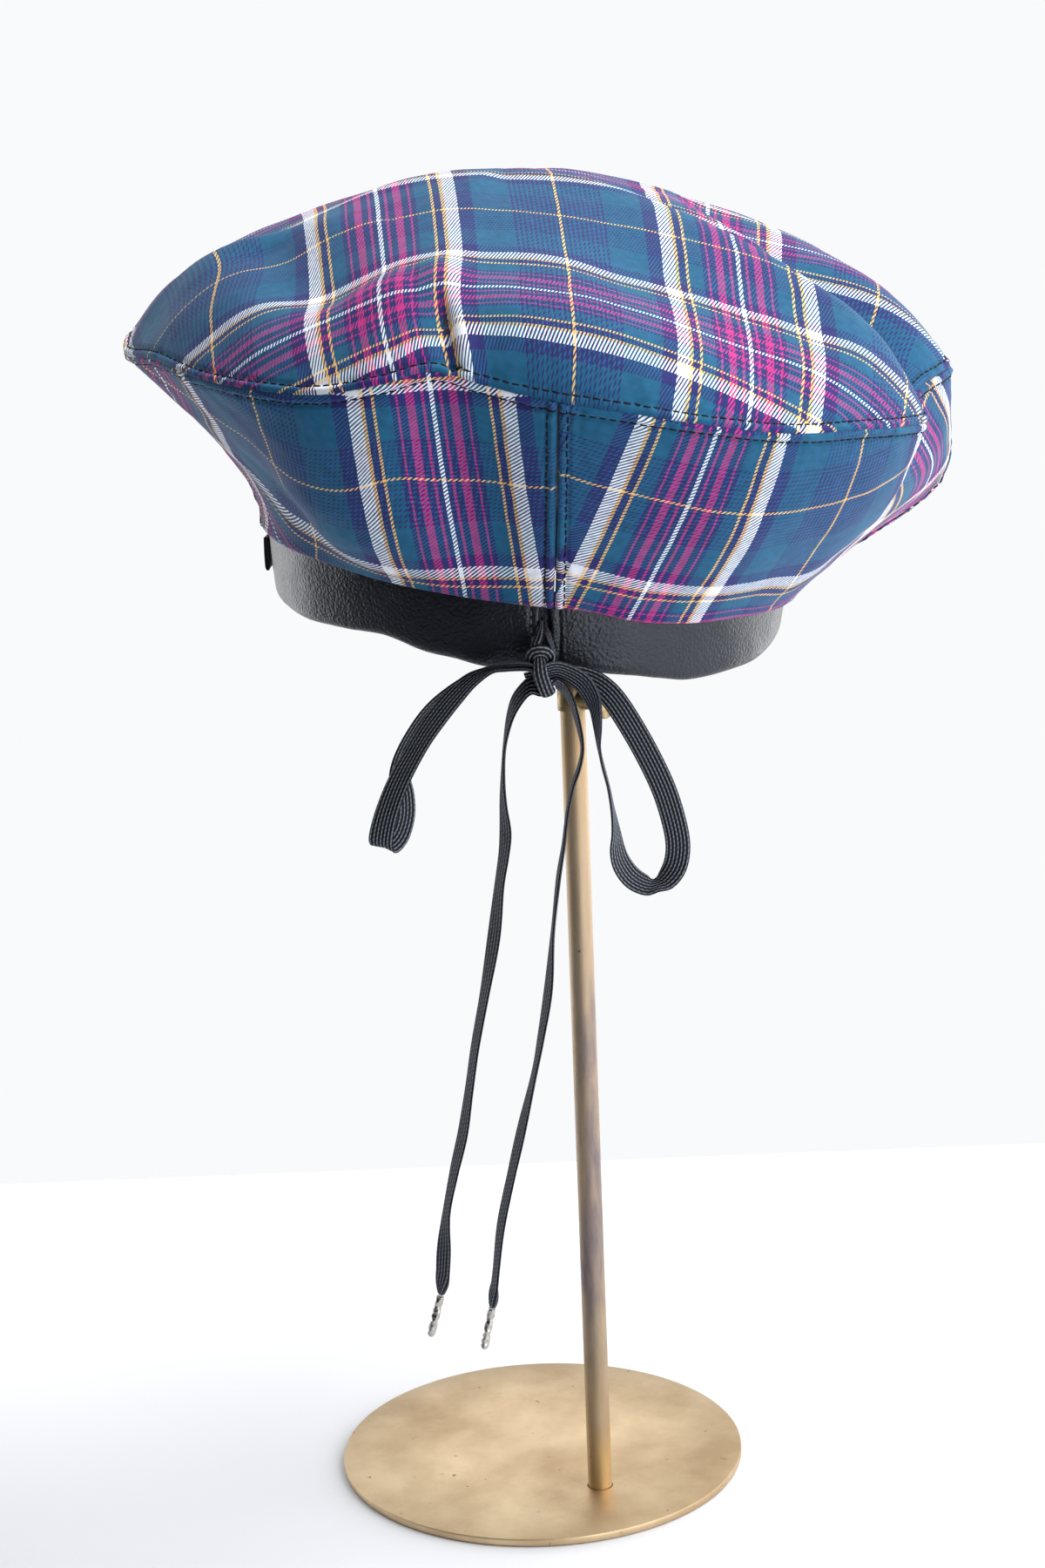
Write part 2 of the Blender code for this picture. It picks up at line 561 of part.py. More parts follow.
def ribbon(name, rows, finish, steps=2):
    front, back = ribbon_grids(rows, steps)
    return wall(name, front, back, finish)


def lobe(name, centre, half, finish):
    """A rounded lump of the knot."""
    work = bmesh.new()
    bmesh.ops.create_uvsphere(work, u_segments=12, v_segments=7, radius=1.0)
    points = [(centre[0] + v.co.x * half[0], centre[1] + v.co.y * half[1],
               centre[2] + v.co.z * half[2]) for v in work.verts]
    faces = [tuple(v.index for v in f.verts) for f in work.faces]
    work.free()
    return link(name, mesh_of(name, points, faces), finish)


def lace_knot(finish):
    """The knot, with the two short strands that come out of the slot, as one solid."""
    knot = lobe("lace_knot", *KNOT_LOBES[0], finish)
    boolean(knot, lobe("knot_lower", *KNOT_LOBES[1], finish), "UNION")
    for side, rows in (("left", STRAND_LEFT), ("right", STRAND_RIGHT)):
        front, back = ribbon_grids(rows, 3, width=7.0)
        boolean(knot, wall("strand_" + side, front, back, finish), "UNION")
    return knot


def aglet(name, ends, finish):
    """A crimped metal tip that carries on from the end of a tail."""
    start, end = np.array(ends)
    along = (end - start) / np.linalg.norm(end - start)
    side = np.cross(along, (0.0, 1.0, 0.0))
    side /= np.linalg.norm(side)
    other = np.cross(along, side)
    radius = AGLET_DIAMETER / 2
    profile = ((0.0, 0.86), (0.25, 1.0), (3.2, 1.0), (3.6, 0.88), (4.4, 0.88), (4.8, 1.0),
               (AGLET_LENGTH - 1.6, 1.0), (AGLET_LENGTH - 0.5, 0.92), (AGLET_LENGTH, 0.7))
    sides = 10
    points, faces = [], []
    for distance, share in profile:
        for j in range(sides):
            angle = 2 * math.pi * j / sides
            points.append(start + along * distance
                          + (side * math.cos(angle) + other * math.sin(angle)) * radius * share)
    for i in range(len(profile) - 1):
        for j in range(sides):
            k = (j + 1) % sides
            faces.append((i * sides + j, i * sides + k, (i + 1) * sides + k, (i + 1) * sides + j))
    faces.append(tuple(range(sides)))
    faces.append(tuple((len(profile) - 1) * sides + j for j in range(sides)))
    return link(name, mesh_of(name, points, faces), finish)


# ---------------------------------------------------------------- the stand
def stand(finish):
    radius = BASE_DIAMETER / 2
    bevel = 0.5
    base = turned("base_disc", ((0, 0), (radius - bevel, 0), (radius, bevel),
                                (radius, BASE_THICKNESS - bevel),
                                (radius - bevel, BASE_THICKNESS), (0, BASE_THICKNESS)),
                  finish, sides=64)
    hole = POLE_DIAMETER / 2 + GAP
    socket = turned("socket", ((0, 1.0), (hole, 1.0), (hole, 2 * BASE_THICKNESS),
                               (0, 2 * BASE_THICKNESS)), finish, (POLE_X, POLE_Y), 24)
    boolean(base, socket, "DIFFERENCE")

    pole = POLE_DIAMETER / 2
    rod = ROD_DIAMETER / 2
    foot = 1.0 + GAP
    turned("pole_tube", ((0, foot), (pole, foot), (pole, POLE_TOP), (0, POLE_TOP)),
           finish, (POLE_X, POLE_Y), 24)

    outer = CLAMP_DIAMETER / 2
    collar = turned("clamp_collar", ((0, CLAMP_LOW), (outer - CLAMP_BEVEL, CLAMP_LOW),
                                     (outer, CLAMP_LOW + CLAMP_BEVEL),
                                     (outer, CLAMP_HIGH - CLAMP_BEVEL),
                                     (outer - CLAMP_BEVEL, CLAMP_HIGH), (0, CLAMP_HIGH)),
                    finish, (POLE_X, POLE_Y), 24)
    boolean(collar, screw_solid("boss", ((0, 0), (3.9, 0), (3.9, 8.2), (3.5, 8.6), (0, 8.6)),
                                finish), "UNION")
    bore = turned("bore", ((0, CLAMP_LOW - 1), (pole + GAP, CLAMP_LOW - 1),
                           (pole + GAP, POLE_TOP + GAP), (rod + GAP, POLE_TOP + GAP),
                           (rod + GAP, CLAMP_HIGH + 1), (0, CLAMP_HIGH + 1)),
                  finish, (POLE_X, POLE_Y), 24)
    boolean(collar, bore, "DIFFERENCE")
    boolean(collar, screw_solid("tapped", ((0, 0), (2.0 + GAP, 0), (2.0 + GAP, 12), (0, 12)),
                                finish), "DIFFERENCE")

    screw_solid("thumb_screw", ((0, 5.2), (2.0, 5.2), (2.0, 11.6), (3.4, 12.0), (6.1, 12.2),
                                (6.6, 12.8), (6.6, 14.8), (6.1, 15.4), (0, 15.4)), finish)

    low = HEAD_TOP - HEAD_DOME
    dome = [(0, POLE_TOP + GAP), (rod, POLE_TOP + GAP), (rod, low - 9.0), (9.0, low - 7.0),
            (HEAD_RADIUS - 6.0, low - 3.0), (HEAD_RADIUS - 1.0, low - 1.5)]
    for k in range(6):
        share = 1.0 - k / 6.0
        dome.append((HEAD_RADIUS * share, HEAD_TOP - HEAD_DOME * share**2))
    dome.append((0, HEAD_TOP))
    turned("head_post", dome, finish, (POLE_X, POLE_Y), 24)


def screw_solid(name, profile, finish):
    """A turned piece that lies along the thumb screw's axis."""
    thing = turned(name, profile, finish, sides=16)
    turn = math.radians(SCREW_TURN)
    along = np.array([math.cos(turn), math.sin(turn), 0.0])
    side = np.array([-math.sin(turn), math.cos(turn), 0.0])
    start = np.array([POLE_X, POLE_Y, SCREW_HEIGHT]) * MM
    for vertex in thing.data.vertices:
        x, y, z = vertex.co
        vertex.co = start + along * z + side * x + np.array([0, 0, 1.0]) * y
    return thing


def main():
    for thing in list(bpy.data.objects):
        bpy.data.objects.remove(thing, do_unlink=True)

    twill = material("tartan_twill", (0.02, 0.10, 0.15), 0.85)
    leather = material("black_leather", (0.012, 0.012, 0.014), 0.42)
    lace = material("charcoal_lace", (0.018, 0.020, 0.024), 0.8)
    felt = material("black_felt", (0.004, 0.004, 0.004), 0.95)
    brass = material("antique_brass", (0.33, 0.22, 0.10), 0.42, 1.0)
    silver = material("silver_tip", (0.62, 0.60, 0.57), 0.3, 1.0)

    stand(brass)
    crown_panel(twill)
    under_panel("under_panel_back_left", SEAM_TURN - 90.0, twill)
    under_panel("under_panel_back_right", SEAM_TURN, twill)
    under_panel("under_panel_front_right", SEAM_TURN + 90.0, twill)
    under_panel("under_panel_front_left", SEAM_TURN + 180.0, twill)
    leather_band(leather)
    draw_lace(lace)
    side_tag(felt)
    lace_knot(lace)
    ribbon("lace_loop_left", LOOP_LEFT, lace)
    ribbon("lace_loop_right", LOOP_RIGHT, lace)
    ribbon("lace_tail_left", TAIL_LEFT, lace)
    ribbon("lace_tail_right", TAIL_RIGHT, lace)
    aglet("aglet_left", AGLET_LEFT, silver)
    aglet("aglet_right", AGLET_RIGHT, silver)


main()
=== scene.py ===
# %% [markdown]
# # A tartan tam o'shanter on a brass hat stand
#
# The hat is soft: a round twill crown, an underside cut in four quarters, a folded leather
# band and a flat lace tied in a bow. The stand is a thin brass pole on a round foot. This
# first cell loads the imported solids, which fix every size and place. Everything made below
# dresses those solids and stays where they are.

# %% Load the frame
import math

import bmesh
import bpy
import numpy as np
from mathutils import Matrix, Vector


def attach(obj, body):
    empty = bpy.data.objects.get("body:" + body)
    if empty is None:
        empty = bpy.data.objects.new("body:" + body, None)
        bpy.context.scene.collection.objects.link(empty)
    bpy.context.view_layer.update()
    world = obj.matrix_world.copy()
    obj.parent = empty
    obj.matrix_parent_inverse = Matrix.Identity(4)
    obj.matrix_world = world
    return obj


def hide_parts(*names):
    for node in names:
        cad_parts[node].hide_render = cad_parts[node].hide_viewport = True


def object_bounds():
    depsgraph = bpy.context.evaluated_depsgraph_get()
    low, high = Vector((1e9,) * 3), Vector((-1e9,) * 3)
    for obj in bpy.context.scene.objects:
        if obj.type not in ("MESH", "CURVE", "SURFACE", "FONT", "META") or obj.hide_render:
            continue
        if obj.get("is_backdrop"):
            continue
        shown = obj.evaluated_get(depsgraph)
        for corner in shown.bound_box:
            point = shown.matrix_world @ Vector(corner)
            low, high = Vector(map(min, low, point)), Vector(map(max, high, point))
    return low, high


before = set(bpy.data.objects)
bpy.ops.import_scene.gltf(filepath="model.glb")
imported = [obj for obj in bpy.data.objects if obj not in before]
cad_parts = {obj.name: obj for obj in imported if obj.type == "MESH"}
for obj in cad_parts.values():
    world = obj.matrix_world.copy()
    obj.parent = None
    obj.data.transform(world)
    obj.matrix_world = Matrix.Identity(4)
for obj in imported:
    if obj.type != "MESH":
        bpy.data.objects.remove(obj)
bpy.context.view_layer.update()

MM = 0.001

# %% [markdown]
# ## The camera
#
# The photograph was taken from behind the hat, a little above its middle, with a longish
# lens. The view tips down by less than 12 degrees, and the camera was held slightly turned,
# so that the pole leans. A camera could be aimed at a point, but then its own turn would be
# lost. It looks along its own -Z, so it is tipped up from straight down and then turned
# about its own axis.

# %% Place the camera
LENS_MM, SENSOR_MM = 61.7, 36.0
CAMERA_PLACE = (0.0024, -0.983, 0.470)
CAMERA_DOWN, CAMERA_TURNED = 0.2025, -0.0395        # radians

camera = bpy.data.objects.new("camera", bpy.data.cameras.new("camera"))
bpy.context.scene.collection.objects.link(camera)
camera.data.lens = LENS_MM
camera.data.sensor_width = SENSOR_MM
camera.matrix_world = (Matrix.Translation(CAMERA_PLACE)
                       @ Matrix.Rotation(math.pi / 2 - CAMERA_DOWN, 4, "X")
                       @ Matrix.Rotation(CAMERA_TURNED, 4, "Z"))
bpy.context.scene.camera = camera
print("camera tips down by", round(math.degrees(CAMERA_DOWN), 1), "degrees")

# %% [markdown]
# ## Helpers for finishes
#
# Colours are picked as sRGB hex values, the way a paint program shows them, while shaders
# want linear light, so one function converts them. Another adds a node, with its settings
# and what its sockets hold or are joined to. It keeps every material short. A socket goes by
# its name, or by its number where several share one. A Mix node's factor is number 0, its
# two colours are 6 and 7, and the mixed colour is output 2. A Map Range node's value is 0,
# what it comes from is 1 to 2 and what it goes to is 3 to 4.

# %% Colour and node helpers
def linear(code):
    """An sRGB hex colour as linear RGBA."""
    parts = [int(code[i:i + 2], 16) / 255 for i in (1, 3, 5)]
    return tuple(c / 12.92 if c <= 0.04045 else ((c + 0.055) / 1.055) ** 2.4
                 for c in parts) + (1.0,)


def add(tree, kind, sockets=None, **settings):
    """A new node. sockets maps an input to a value, another node or one of its outputs."""
    node = tree.nodes.new("ShaderNode" + kind)
    for name, value in settings.items():
        setattr(node, name, value)
    for key, value in (sockets or {}).items():
        if isinstance(value, bpy.types.Node):
            value = value.outputs[0]
        if isinstance(value, bpy.types.NodeSocket):
            tree.links.new(value, node.inputs[key])
        else:
            node.inputs[key].default_value = value
    return node


def new_material(name, **shader_values):
    """A material with its Principled shader's own sockets set."""
    made = bpy.data.materials.new(name)
    made.use_nodes = True
    shader = made.node_tree.nodes["Principled BSDF"]
    for key, value in shader_values.items():
        shader.inputs[key.replace("_", " ")].default_value = value
    return made, made.node_tree, shader


print("mid grey in linear light:", round(linear("#808080")[0], 3))

# %% [markdown]
# ## The tartan
#
# Real cloth: a wool-like cotton twill, yarn-dyed and woven with the same stripes in both
# directions. Where a stripe crosses another, each shows on half of the threads, in fine
# slanting lines. So two sets of stripes are made, one for each direction, and a wave that
# runs across the twill's slanting lines picks which one lies on top. The stripes' widths
# are in millimetres, counted from the thin white line in the middle of the pink bars, and
# they are mirrored at both ends of the half repeat. Dark pin lines cross the teal ground.
# The real twill's ribs are about half a millimetre apart, too fine to show from here, so
# they are drawn twice as coarse.

# %% Stripe chart
HALF_REPEAT = 59.5
TEAL, NAVY, PINK = linear("#165a7f"), linear("#25296a"), linear("#c02c82")
ORANGE, WHITE = linear("#f6c673"), linear("#eef2fb")
CHART_COLUMNS = ("start_mm", "colour")
CHART = (
    (0.0, WHITE), (0.55, NAVY), (2.3, PINK), (3.1, NAVY), (5.3, PINK), (7.9, NAVY),
    (10.0, PINK), (10.8, NAVY), (12.5, TEAL), (17.4, ORANGE), (18.3, NAVY), (20.6, ORANGE),
    (21.8, WHITE), (25.8, NAVY), (30.9, TEAL), (58.9, ORANGE),
)
PIN_FROM, PIN_TO, PIN_REPEAT = 43.2, 58.9, 1.6
TWILL_PITCH = 1.05
WEFT_FROM, WEFT_TO = -0.48, 0.14                    # heights of the twill's wave
MOTTLE_PER_MM, FUZZ_PER_MM = 0.35, 3.2


def thread_colour(tree, position):
    """The dyed colour of the threads at a place across the cloth, in mm."""
    folded = add(tree, "Math", {0: position, 1: HALF_REPEAT}, operation="PINGPONG")
    ramp = add(tree, "ValToRGB", {0: add(tree, "MapRange", {0: folded, 2: HALF_REPEAT})})
    ramp.color_ramp.interpolation = "CONSTANT"
    points = ramp.color_ramp.elements
    points.remove(points[1])
    points[0].color = CHART[0][1]
    for start, colour in CHART[1:]:
        points.new(start / HALF_REPEAT).color = colour
    repeats = add(tree, "Math", {0: folded, 1: PIN_REPEAT}, operation="DIVIDE")
    half = add(tree, "Math", {0: add(tree, "Math", {0: repeats}, operation="FRACT"), 1: 0.5},
               operation="GREATER_THAN")
    after = add(tree, "Math", {0: folded, 1: PIN_FROM}, operation="GREATER_THAN")
    before = add(tree, "Math", {0: folded, 1: PIN_TO}, operation="LESS_THAN")
    inside = add(tree, "Math", {0: after, 1: before}, operation="MULTIPLY")
    pins = add(tree, "Math", {0: inside, 1: half}, operation="MULTIPLY")
    return add(tree, "Mix", {0: pins, 6: ramp, 7: NAVY}, data_type="RGBA").outputs[2]


def tartan(name, twill_angle):
    """Yarn-dyed twill. twill_angle is the slant of its ribs, in degrees from the weft."""
    made, tree, shader = new_material(name, Roughness=0.82, Sheen_Weight=0.08,
                                      Sheen_Roughness=0.5, Specular_IOR_Level=0.25)
    place = add(tree, "UVMap", uv_map="cloth")
    ways = add(tree, "SeparateXYZ", {0: place})
    across, along = ways.outputs[0], ways.outputs[1]
    slant = math.radians(twill_angle)
    over = add(tree, "VectorMath", {0: place, 1: (math.sin(slant), -math.cos(slant), 0.0)},
               operation="DOT_PRODUCT").outputs["Value"]
    turns = add(tree, "Math", {0: over, 1: 2 * math.pi / TWILL_PITCH}, operation="MULTIPLY")
    wave = add(tree, "Math", {0: turns}, operation="SINE")
    on_top = add(tree, "MapRange", {0: wave, 1: WEFT_FROM, 2: WEFT_TO})
    woven = add(tree, "Mix", {0: on_top, 6: thread_colour(tree, along),
                              7: thread_colour(tree, across)}, data_type="RGBA").outputs[2]
    mottle = add(tree, "TexNoise", {"Vector": place, "Scale": MOTTLE_PER_MM, "Detail": 4.0})
    fade = add(tree, "MapRange", {0: mottle, 1: 0.3, 2: 0.7, 3: 0.84, 4: 1.16})
    worn = add(tree, "HueSaturation", {"Value": fade, "Color": woven})
    tree.links.new(worn.outputs[0], shader.inputs["Base Color"])
    rib = add(tree, "Math", {0: wave}, operation="ABSOLUTE")
    fuzz = add(tree, "TexNoise", {"Vector": place, "Scale": FUZZ_PER_MM, "Detail": 3.0})
    height = add(tree, "Math", {0: fuzz, 1: 0.5, 2: rib}, operation="MULTIPLY_ADD")
    bump = add(tree, "Bump", {"Strength": 0.35, "Distance": 0.00012, "Height": height})
    tree.links.new(bump.outputs[0], shader.inputs["Normal"])
    return made


crown_twill = tartan("tartan_twill_crown", 68.0)
under_twill = tartan("tartan_twill_underside", 38.0)
print("tartan repeat in mm:", 2 * HALF_REPEAT)

# %% [markdown]
# ## Other soft finishes
#
# The band is soft black leather, embossed with a pebble grain: small rounded cells about a
# millimetre wide with narrow valleys, and a light oil finish. It is dark, so nearly all
# that the eye sees is its gloss, which grows towards the sides. The inside of the hat is
# a plain dark lining. The lace is flat and woven, with lengthwise ribs of tiny light
# stitches. Its pattern reads the lace's own map: millimetres along, then across. The real
# lace has more ribs and shorter stitches, too fine to show, so both are drawn coarser.

# %% Leather, lining, thread and lace
PEBBLE_MM = 0.95
CRACKS_PER_MM, CLOUDS_PER_MM = 2.6, 0.09
LACE_WIDTH = 8.0
LACE_RIBS = 7
LACE_STITCH_MM = 1.5
STITCH_NARROW, STITCH_SHORT = 1.6, 0.62             # the oval's shape in its cell


def pebbled_leather():
    """Chrome-tanned leather with an embossed pebble grain."""
    made, tree, shader = new_material("pebbled_leather", Specular_IOR_Level=0.55,
                                      Specular_Tint=linear("#dfe6f6"))
    place = add(tree, "TexCoord").outputs["Object"]
    grain = add(tree, "TexVoronoi", {"Vector": place, "Scale": 1 / (PEBBLE_MM * MM)},
                feature="SMOOTH_F1")
    cracks = add(tree, "TexNoise", {"Vector": place, "Scale": CRACKS_PER_MM / MM, "Detail": 2.0})
    broad = add(tree, "TexNoise", {"Vector": place, "Scale": CLOUDS_PER_MM / MM,
                                   "Detail": 3.0})
    tint = add(tree, "Mix", {0: broad, 6: linear("#06070a"), 7: linear("#0e1014")},
               data_type="RGBA").outputs[2]
    tree.links.new(tint, shader.inputs["Base Color"])
    gloss = add(tree, "MapRange", {0: broad, 1: 0.3, 2: 0.7, 3: 0.27, 4: 0.36})
    tree.links.new(gloss.outputs[0], shader.inputs["Roughness"])
    height = add(tree, "Math", {0: cracks, 1: 0.35, 2: grain}, operation="MULTIPLY_ADD")
    bump = add(tree, "Bump", {"Strength": 0.8, "Distance": 0.00028, "Height": height},
               invert=True)
    tree.links.new(bump.outputs[0], shader.inputs["Normal"])
    return made


def plain_lining():
    """A plain-woven dark lining, with threads a third of a millimetre apart."""
    made, tree, shader = new_material("plain_lining", Roughness=0.7, Sheen_Weight=0.1)
    place = add(tree, "UVMap", uv_map="cloth")
    threads = add(tree, "TexWave", {"Vector": place, "Scale": 0.5, "Distortion": 0.6})
    tint = add(tree, "Mix", {0: threads.outputs[1], 6: linear("#14161f"),
                             7: linear("#20232f")}, data_type="RGBA").outputs[2]
    tree.links.new(tint, shader.inputs["Base Color"])
    return made


def woven_lace(name, dark, light):
    """Flat woven polyester lace: ribs along it, each a row of small light stitches."""
    made, tree, shader = new_material(name, Roughness=0.75, Specular_IOR_Level=0.3)
    place = add(tree, "UVMap", uv_map="lace")
    ways = add(tree, "SeparateXYZ", {0: place})
    row = add(tree, "Math", {0: ways.outputs[1], 1: LACE_RIBS / LACE_WIDTH},
              operation="MULTIPLY")
    part = add(tree, "Math", {0: row}, operation="FRACT")
    in_row = add(tree, "Math", {0: part, 1: 0.5}, operation="SUBTRACT")
    number = add(tree, "Math", {0: row}, operation="FLOOR")
    shift = add(tree, "Math", {0: number, 1: 0.5}, operation="MULTIPLY")
    step = add(tree, "Math", {0: ways, 1: 1 / LACE_STITCH_MM, 2: shift},
               operation="MULTIPLY_ADD")
    slanted = add(tree, "Math", {0: in_row, 1: 0.25, 2: step}, operation="MULTIPLY_ADD")
    turn = add(tree, "Math", {0: slanted}, operation="FRACT")
    in_step = add(tree, "Math", {0: turn, 1: 0.5}, operation="SUBTRACT")
    narrow = add(tree, "Math", {0: in_row, 1: STITCH_NARROW}, operation="MULTIPLY")
    short = add(tree, "Math", {0: in_step, 1: STITCH_SHORT}, operation="MULTIPLY")
    oval = add(tree, "CombineXYZ", {0: narrow, 1: short})
    far = add(tree, "VectorMath", {0: oval}, operation="LENGTH").outputs["Value"]
    stitch = add(tree, "MapRange", {0: far, 1: 0.46, 2: 0.16})
    tint = add(tree, "Mix", {0: stitch, 6: linear(dark), 7: linear(light)},
               data_type="RGBA").outputs[2]
    tree.links.new(tint, shader.inputs["Base Color"])
    bump = add(tree, "Bump", {"Strength": 0.6, "Distance": 0.0002, "Height": stitch})
    tree.links.new(bump.outputs[0], shader.inputs["Normal"])
    return made


def sewing_thread(name, colour):
    """Twisted cotton thread, with painted shade that darkens it between its strands."""
    made, tree, shader = new_material(name, Roughness=0.7, Specular_IOR_Level=0.3)
    place = add(tree, "TexCoord").outputs["Object"]
    # Painted shade: near-black mixed in where the thread's strands meet.
    twist = add(tree, "TexNoise", {"Vector": place, "Scale": 2.0 / MM})
    tint = add(tree, "Mix", {0: twist, 6: linear("#050506"), 7: linear(colour)},
               data_type="RGBA").outputs[2]
    tree.links.new(tint, shader.inputs["Base Color"])
    return made


leather = pebbled_leather()
lining = plain_lining()
lace_cloth = woven_lace("woven_lace", "#050608", "#7c8290")
black_thread = sewing_thread("black_cotton_thread", "#0d0d11")
grey_thread = sewing_thread("grey_cotton_thread", "#85857f")
print("leather grain in mm:", PEBBLE_MM, "lace stitch in mm:", LACE_STITCH_MM)

# %% [markdown]
# ## Helpers for soft shapes
#
# Cloth and lace are surfaces that were cut flat and then bent. They could be pushed about by
# hand in sculpt mode, but then their pattern would be lost, so each is made as a grid of
# points with a map back to the flat cloth. A wall joins two such grids into a closed skin.
# A strip sweeps a cross-section along a smooth route. Each finished piece rides on the object's
# one body, and the solids that it stands for are hidden.

# %% Mesh helpers
MERGE_M = 0.5e-6


def gone(grid, axis):
    """Distance travelled along one axis of a line or a grid of points, in mm."""
    steps = np.linalg.norm(np.diff(grid, axis=axis), axis=-1)
    return np.concatenate([np.zeros_like(np.take(steps, [0], axis)),
                           np.cumsum(steps, axis=axis)], axis=axis)


def cells(grid):
    """The four corners of every cell of a grid, in order round the cell."""
    return grid[:-1, :-1], grid[:-1, 1:], grid[1:, 1:], grid[1:, :-1]


def mesh_piece(name, points, faces, corners, map_name, materials, picks=None):
    """A smooth mesh from points in mm, faces and one map place for each face corner."""
    mesh = bpy.data.meshes.new(name)
    mesh.from_pydata((np.asarray(points, float) * MM).tolist(), [], faces)
    layer = mesh.uv_layers.new(name=map_name)
    layer.data.foreach_set("uv", np.asarray(corners, float).ravel())
    for material in materials:
        mesh.materials.append(material)
    if picks is not None:
        mesh.polygons.foreach_set("material_index", picks)
    work = bmesh.new()
    work.from_mesh(mesh)
    bmesh.ops.remove_doubles(work, verts=work.verts, dist=MERGE_M)
    bmesh.ops.recalc_face_normals(work, faces=work.faces)
    if work.calc_volume(signed=True) < 0:
        bmesh.ops.reverse_faces(work, faces=work.faces)
    work.to_mesh(mesh)
    work.free()
    mesh.shade_smooth()
    piece = bpy.data.objects.new(name, mesh)
    bpy.context.scene.collection.objects.link(piece)
    return piece


def dress(piece, slot, *nodes):
    """Let a piece ride on the object and stand for its solids."""
    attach(piece, "root")
    if nodes:
        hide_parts(*nodes)
    triangles = sum(len(p.vertices) - 2 for p in piece.data.polygons)
    print(piece.name, "triangles:", triangles)
    return piece


def wall(name, outer, inner, flat, map_name, materials):
    """A closed skin between two grids of points, rows by columns, with a map for both.

    The inner face has the last of the materials.
    """
    rows, columns = outer.shape[:2]
    far = rows * columns
    index = np.arange(far).reshape(rows, columns)
    quads = np.stack(cells(index), -1).reshape(-1, 4)
    places = np.stack(cells(flat), -2).reshape(-1, 4, 2)
    faces, corners = [quads, quads[:, ::-1] + far], [places, places[:, ::-1]]
    picks = [np.zeros(len(quads), int), np.full(len(quads), len(materials) - 1)]
    for line, place in ((index[0], flat[0]), (index[-1][::-1], flat[-1][::-1]),
                        (index[::-1, 0], flat[::-1, 0]), (index[:, -1], flat[:, -1])):
        faces.append(np.stack([line[1:], line[:-1], line[:-1] + far, line[1:] + far], -1))
        corners.append(np.stack([place[1:], place[:-1], place[:-1], place[1:]], -2))
        picks.append(np.zeros(len(faces[-1]), int))
    points = np.concatenate([outer.reshape(-1, 3), inner.reshape(-1, 3)])
    return mesh_piece(name, points, np.concatenate(faces).tolist(), np.concatenate(corners),
                      map_name, materials, np.concatenate(picks))


def smooth_route(rows, steps):
    """A smooth curve through a route's rows, with steps samples between two of them."""
    rows = np.array(rows, float)
    rows = np.vstack([2 * rows[0] - rows[1], rows, 2 * rows[-1] - rows[-2]])
    samples = []
    for k in range(1, len(rows) - 2):
        before, here, there, after = rows[k - 1:k + 3]
        for t in np.arange(steps) / steps:
            samples.append(0.5 * (2 * here + (there - before) * t
                                  + (2 * before - 5 * here + 4 * there - after) * t**2
                                  + (3 * here - before - 3 * there + after) * t**3))
    samples.append(rows[-2])
    return np.array(samples)


def even_route(rows, spacing):
    """The same curve, sampled at even distances in mm, with the distances."""
    fine = smooth_route(rows, 24)
    path = gone(fine[:, :3], 0)
    at = np.linspace(0.0, path[-1], int(round(path[-1] / spacing)) + 1)
    return np.stack([np.interp(at, path, column) for column in fine.T], -1), at


BACK_MAP = 1.8          # the back's map goes on past the front's, by this share of the width


def strip(name, rows, material, spacing=1.1, width=LACE_WIDTH, thick=1.0, shape=None,
          crown=0.0, start=0.0, ribs=0.10, lines=LACE_RIBS):
    """Sweep a ribbed strip of lace along a route.

    shape gives the share of the width and of the thickness at each share of the length.
    crown bends the strip's face outwards, in mm. start is where its map begins. lines is
    the number of its ribs.
    """
    samples, at = even_route(rows, spacing)
    middle, side = samples[:, :3], samples[:, 3:6]
    along = np.gradient(middle, axis=0)
    along /= np.linalg.norm(along, axis=1, keepdims=True)
    side = side - along * (side * along).sum(axis=1, keepdims=True)
    side /= np.linalg.norm(side, axis=1, keepdims=True)
    face = np.cross(along, side)
    wide, deep = shape(at / at[-1]) if shape else (np.ones(len(at)), np.ones(len(at)))
    steps = 4 * lines
    across = np.linspace(-0.5, 0.5, steps + 1)
    edge = np.sqrt(np.clip(1 - (2 * across) ** 6, 0.0, 1.0))
    dips = ribs * (np.abs(np.cos(math.pi * lines * (across + 0.5))) - 0.5)
    half = (thick / 2 - dips) * edge
    bend = crown * (1 - (2 * across) ** 2)
    loop = [(w, bend[i] + half[i], w + 0.5) for i, w in enumerate(across)]
    loop += [(across[i], bend[i] - half[i], BACK_MAP - across[i])
             for i in range(steps - 1, 0, -1)]
    loop.append((loop[0][0], loop[0][1], loop[-1][2] + 1 / steps))
    grid = np.stack([middle + side * (wide * width * w)[:, None]
                     + face * (deep * h)[:, None] for w, h, _ in loop[:-1]], axis=1)
    full = LACE_WIDTH * lines / LACE_RIBS
    flat = np.stack([np.stack([at + start, np.full(len(at), m * full)], -1)
                     for _, _, m in loop], axis=1)
    return capped_tube(name, grid, flat, "lace", [material])


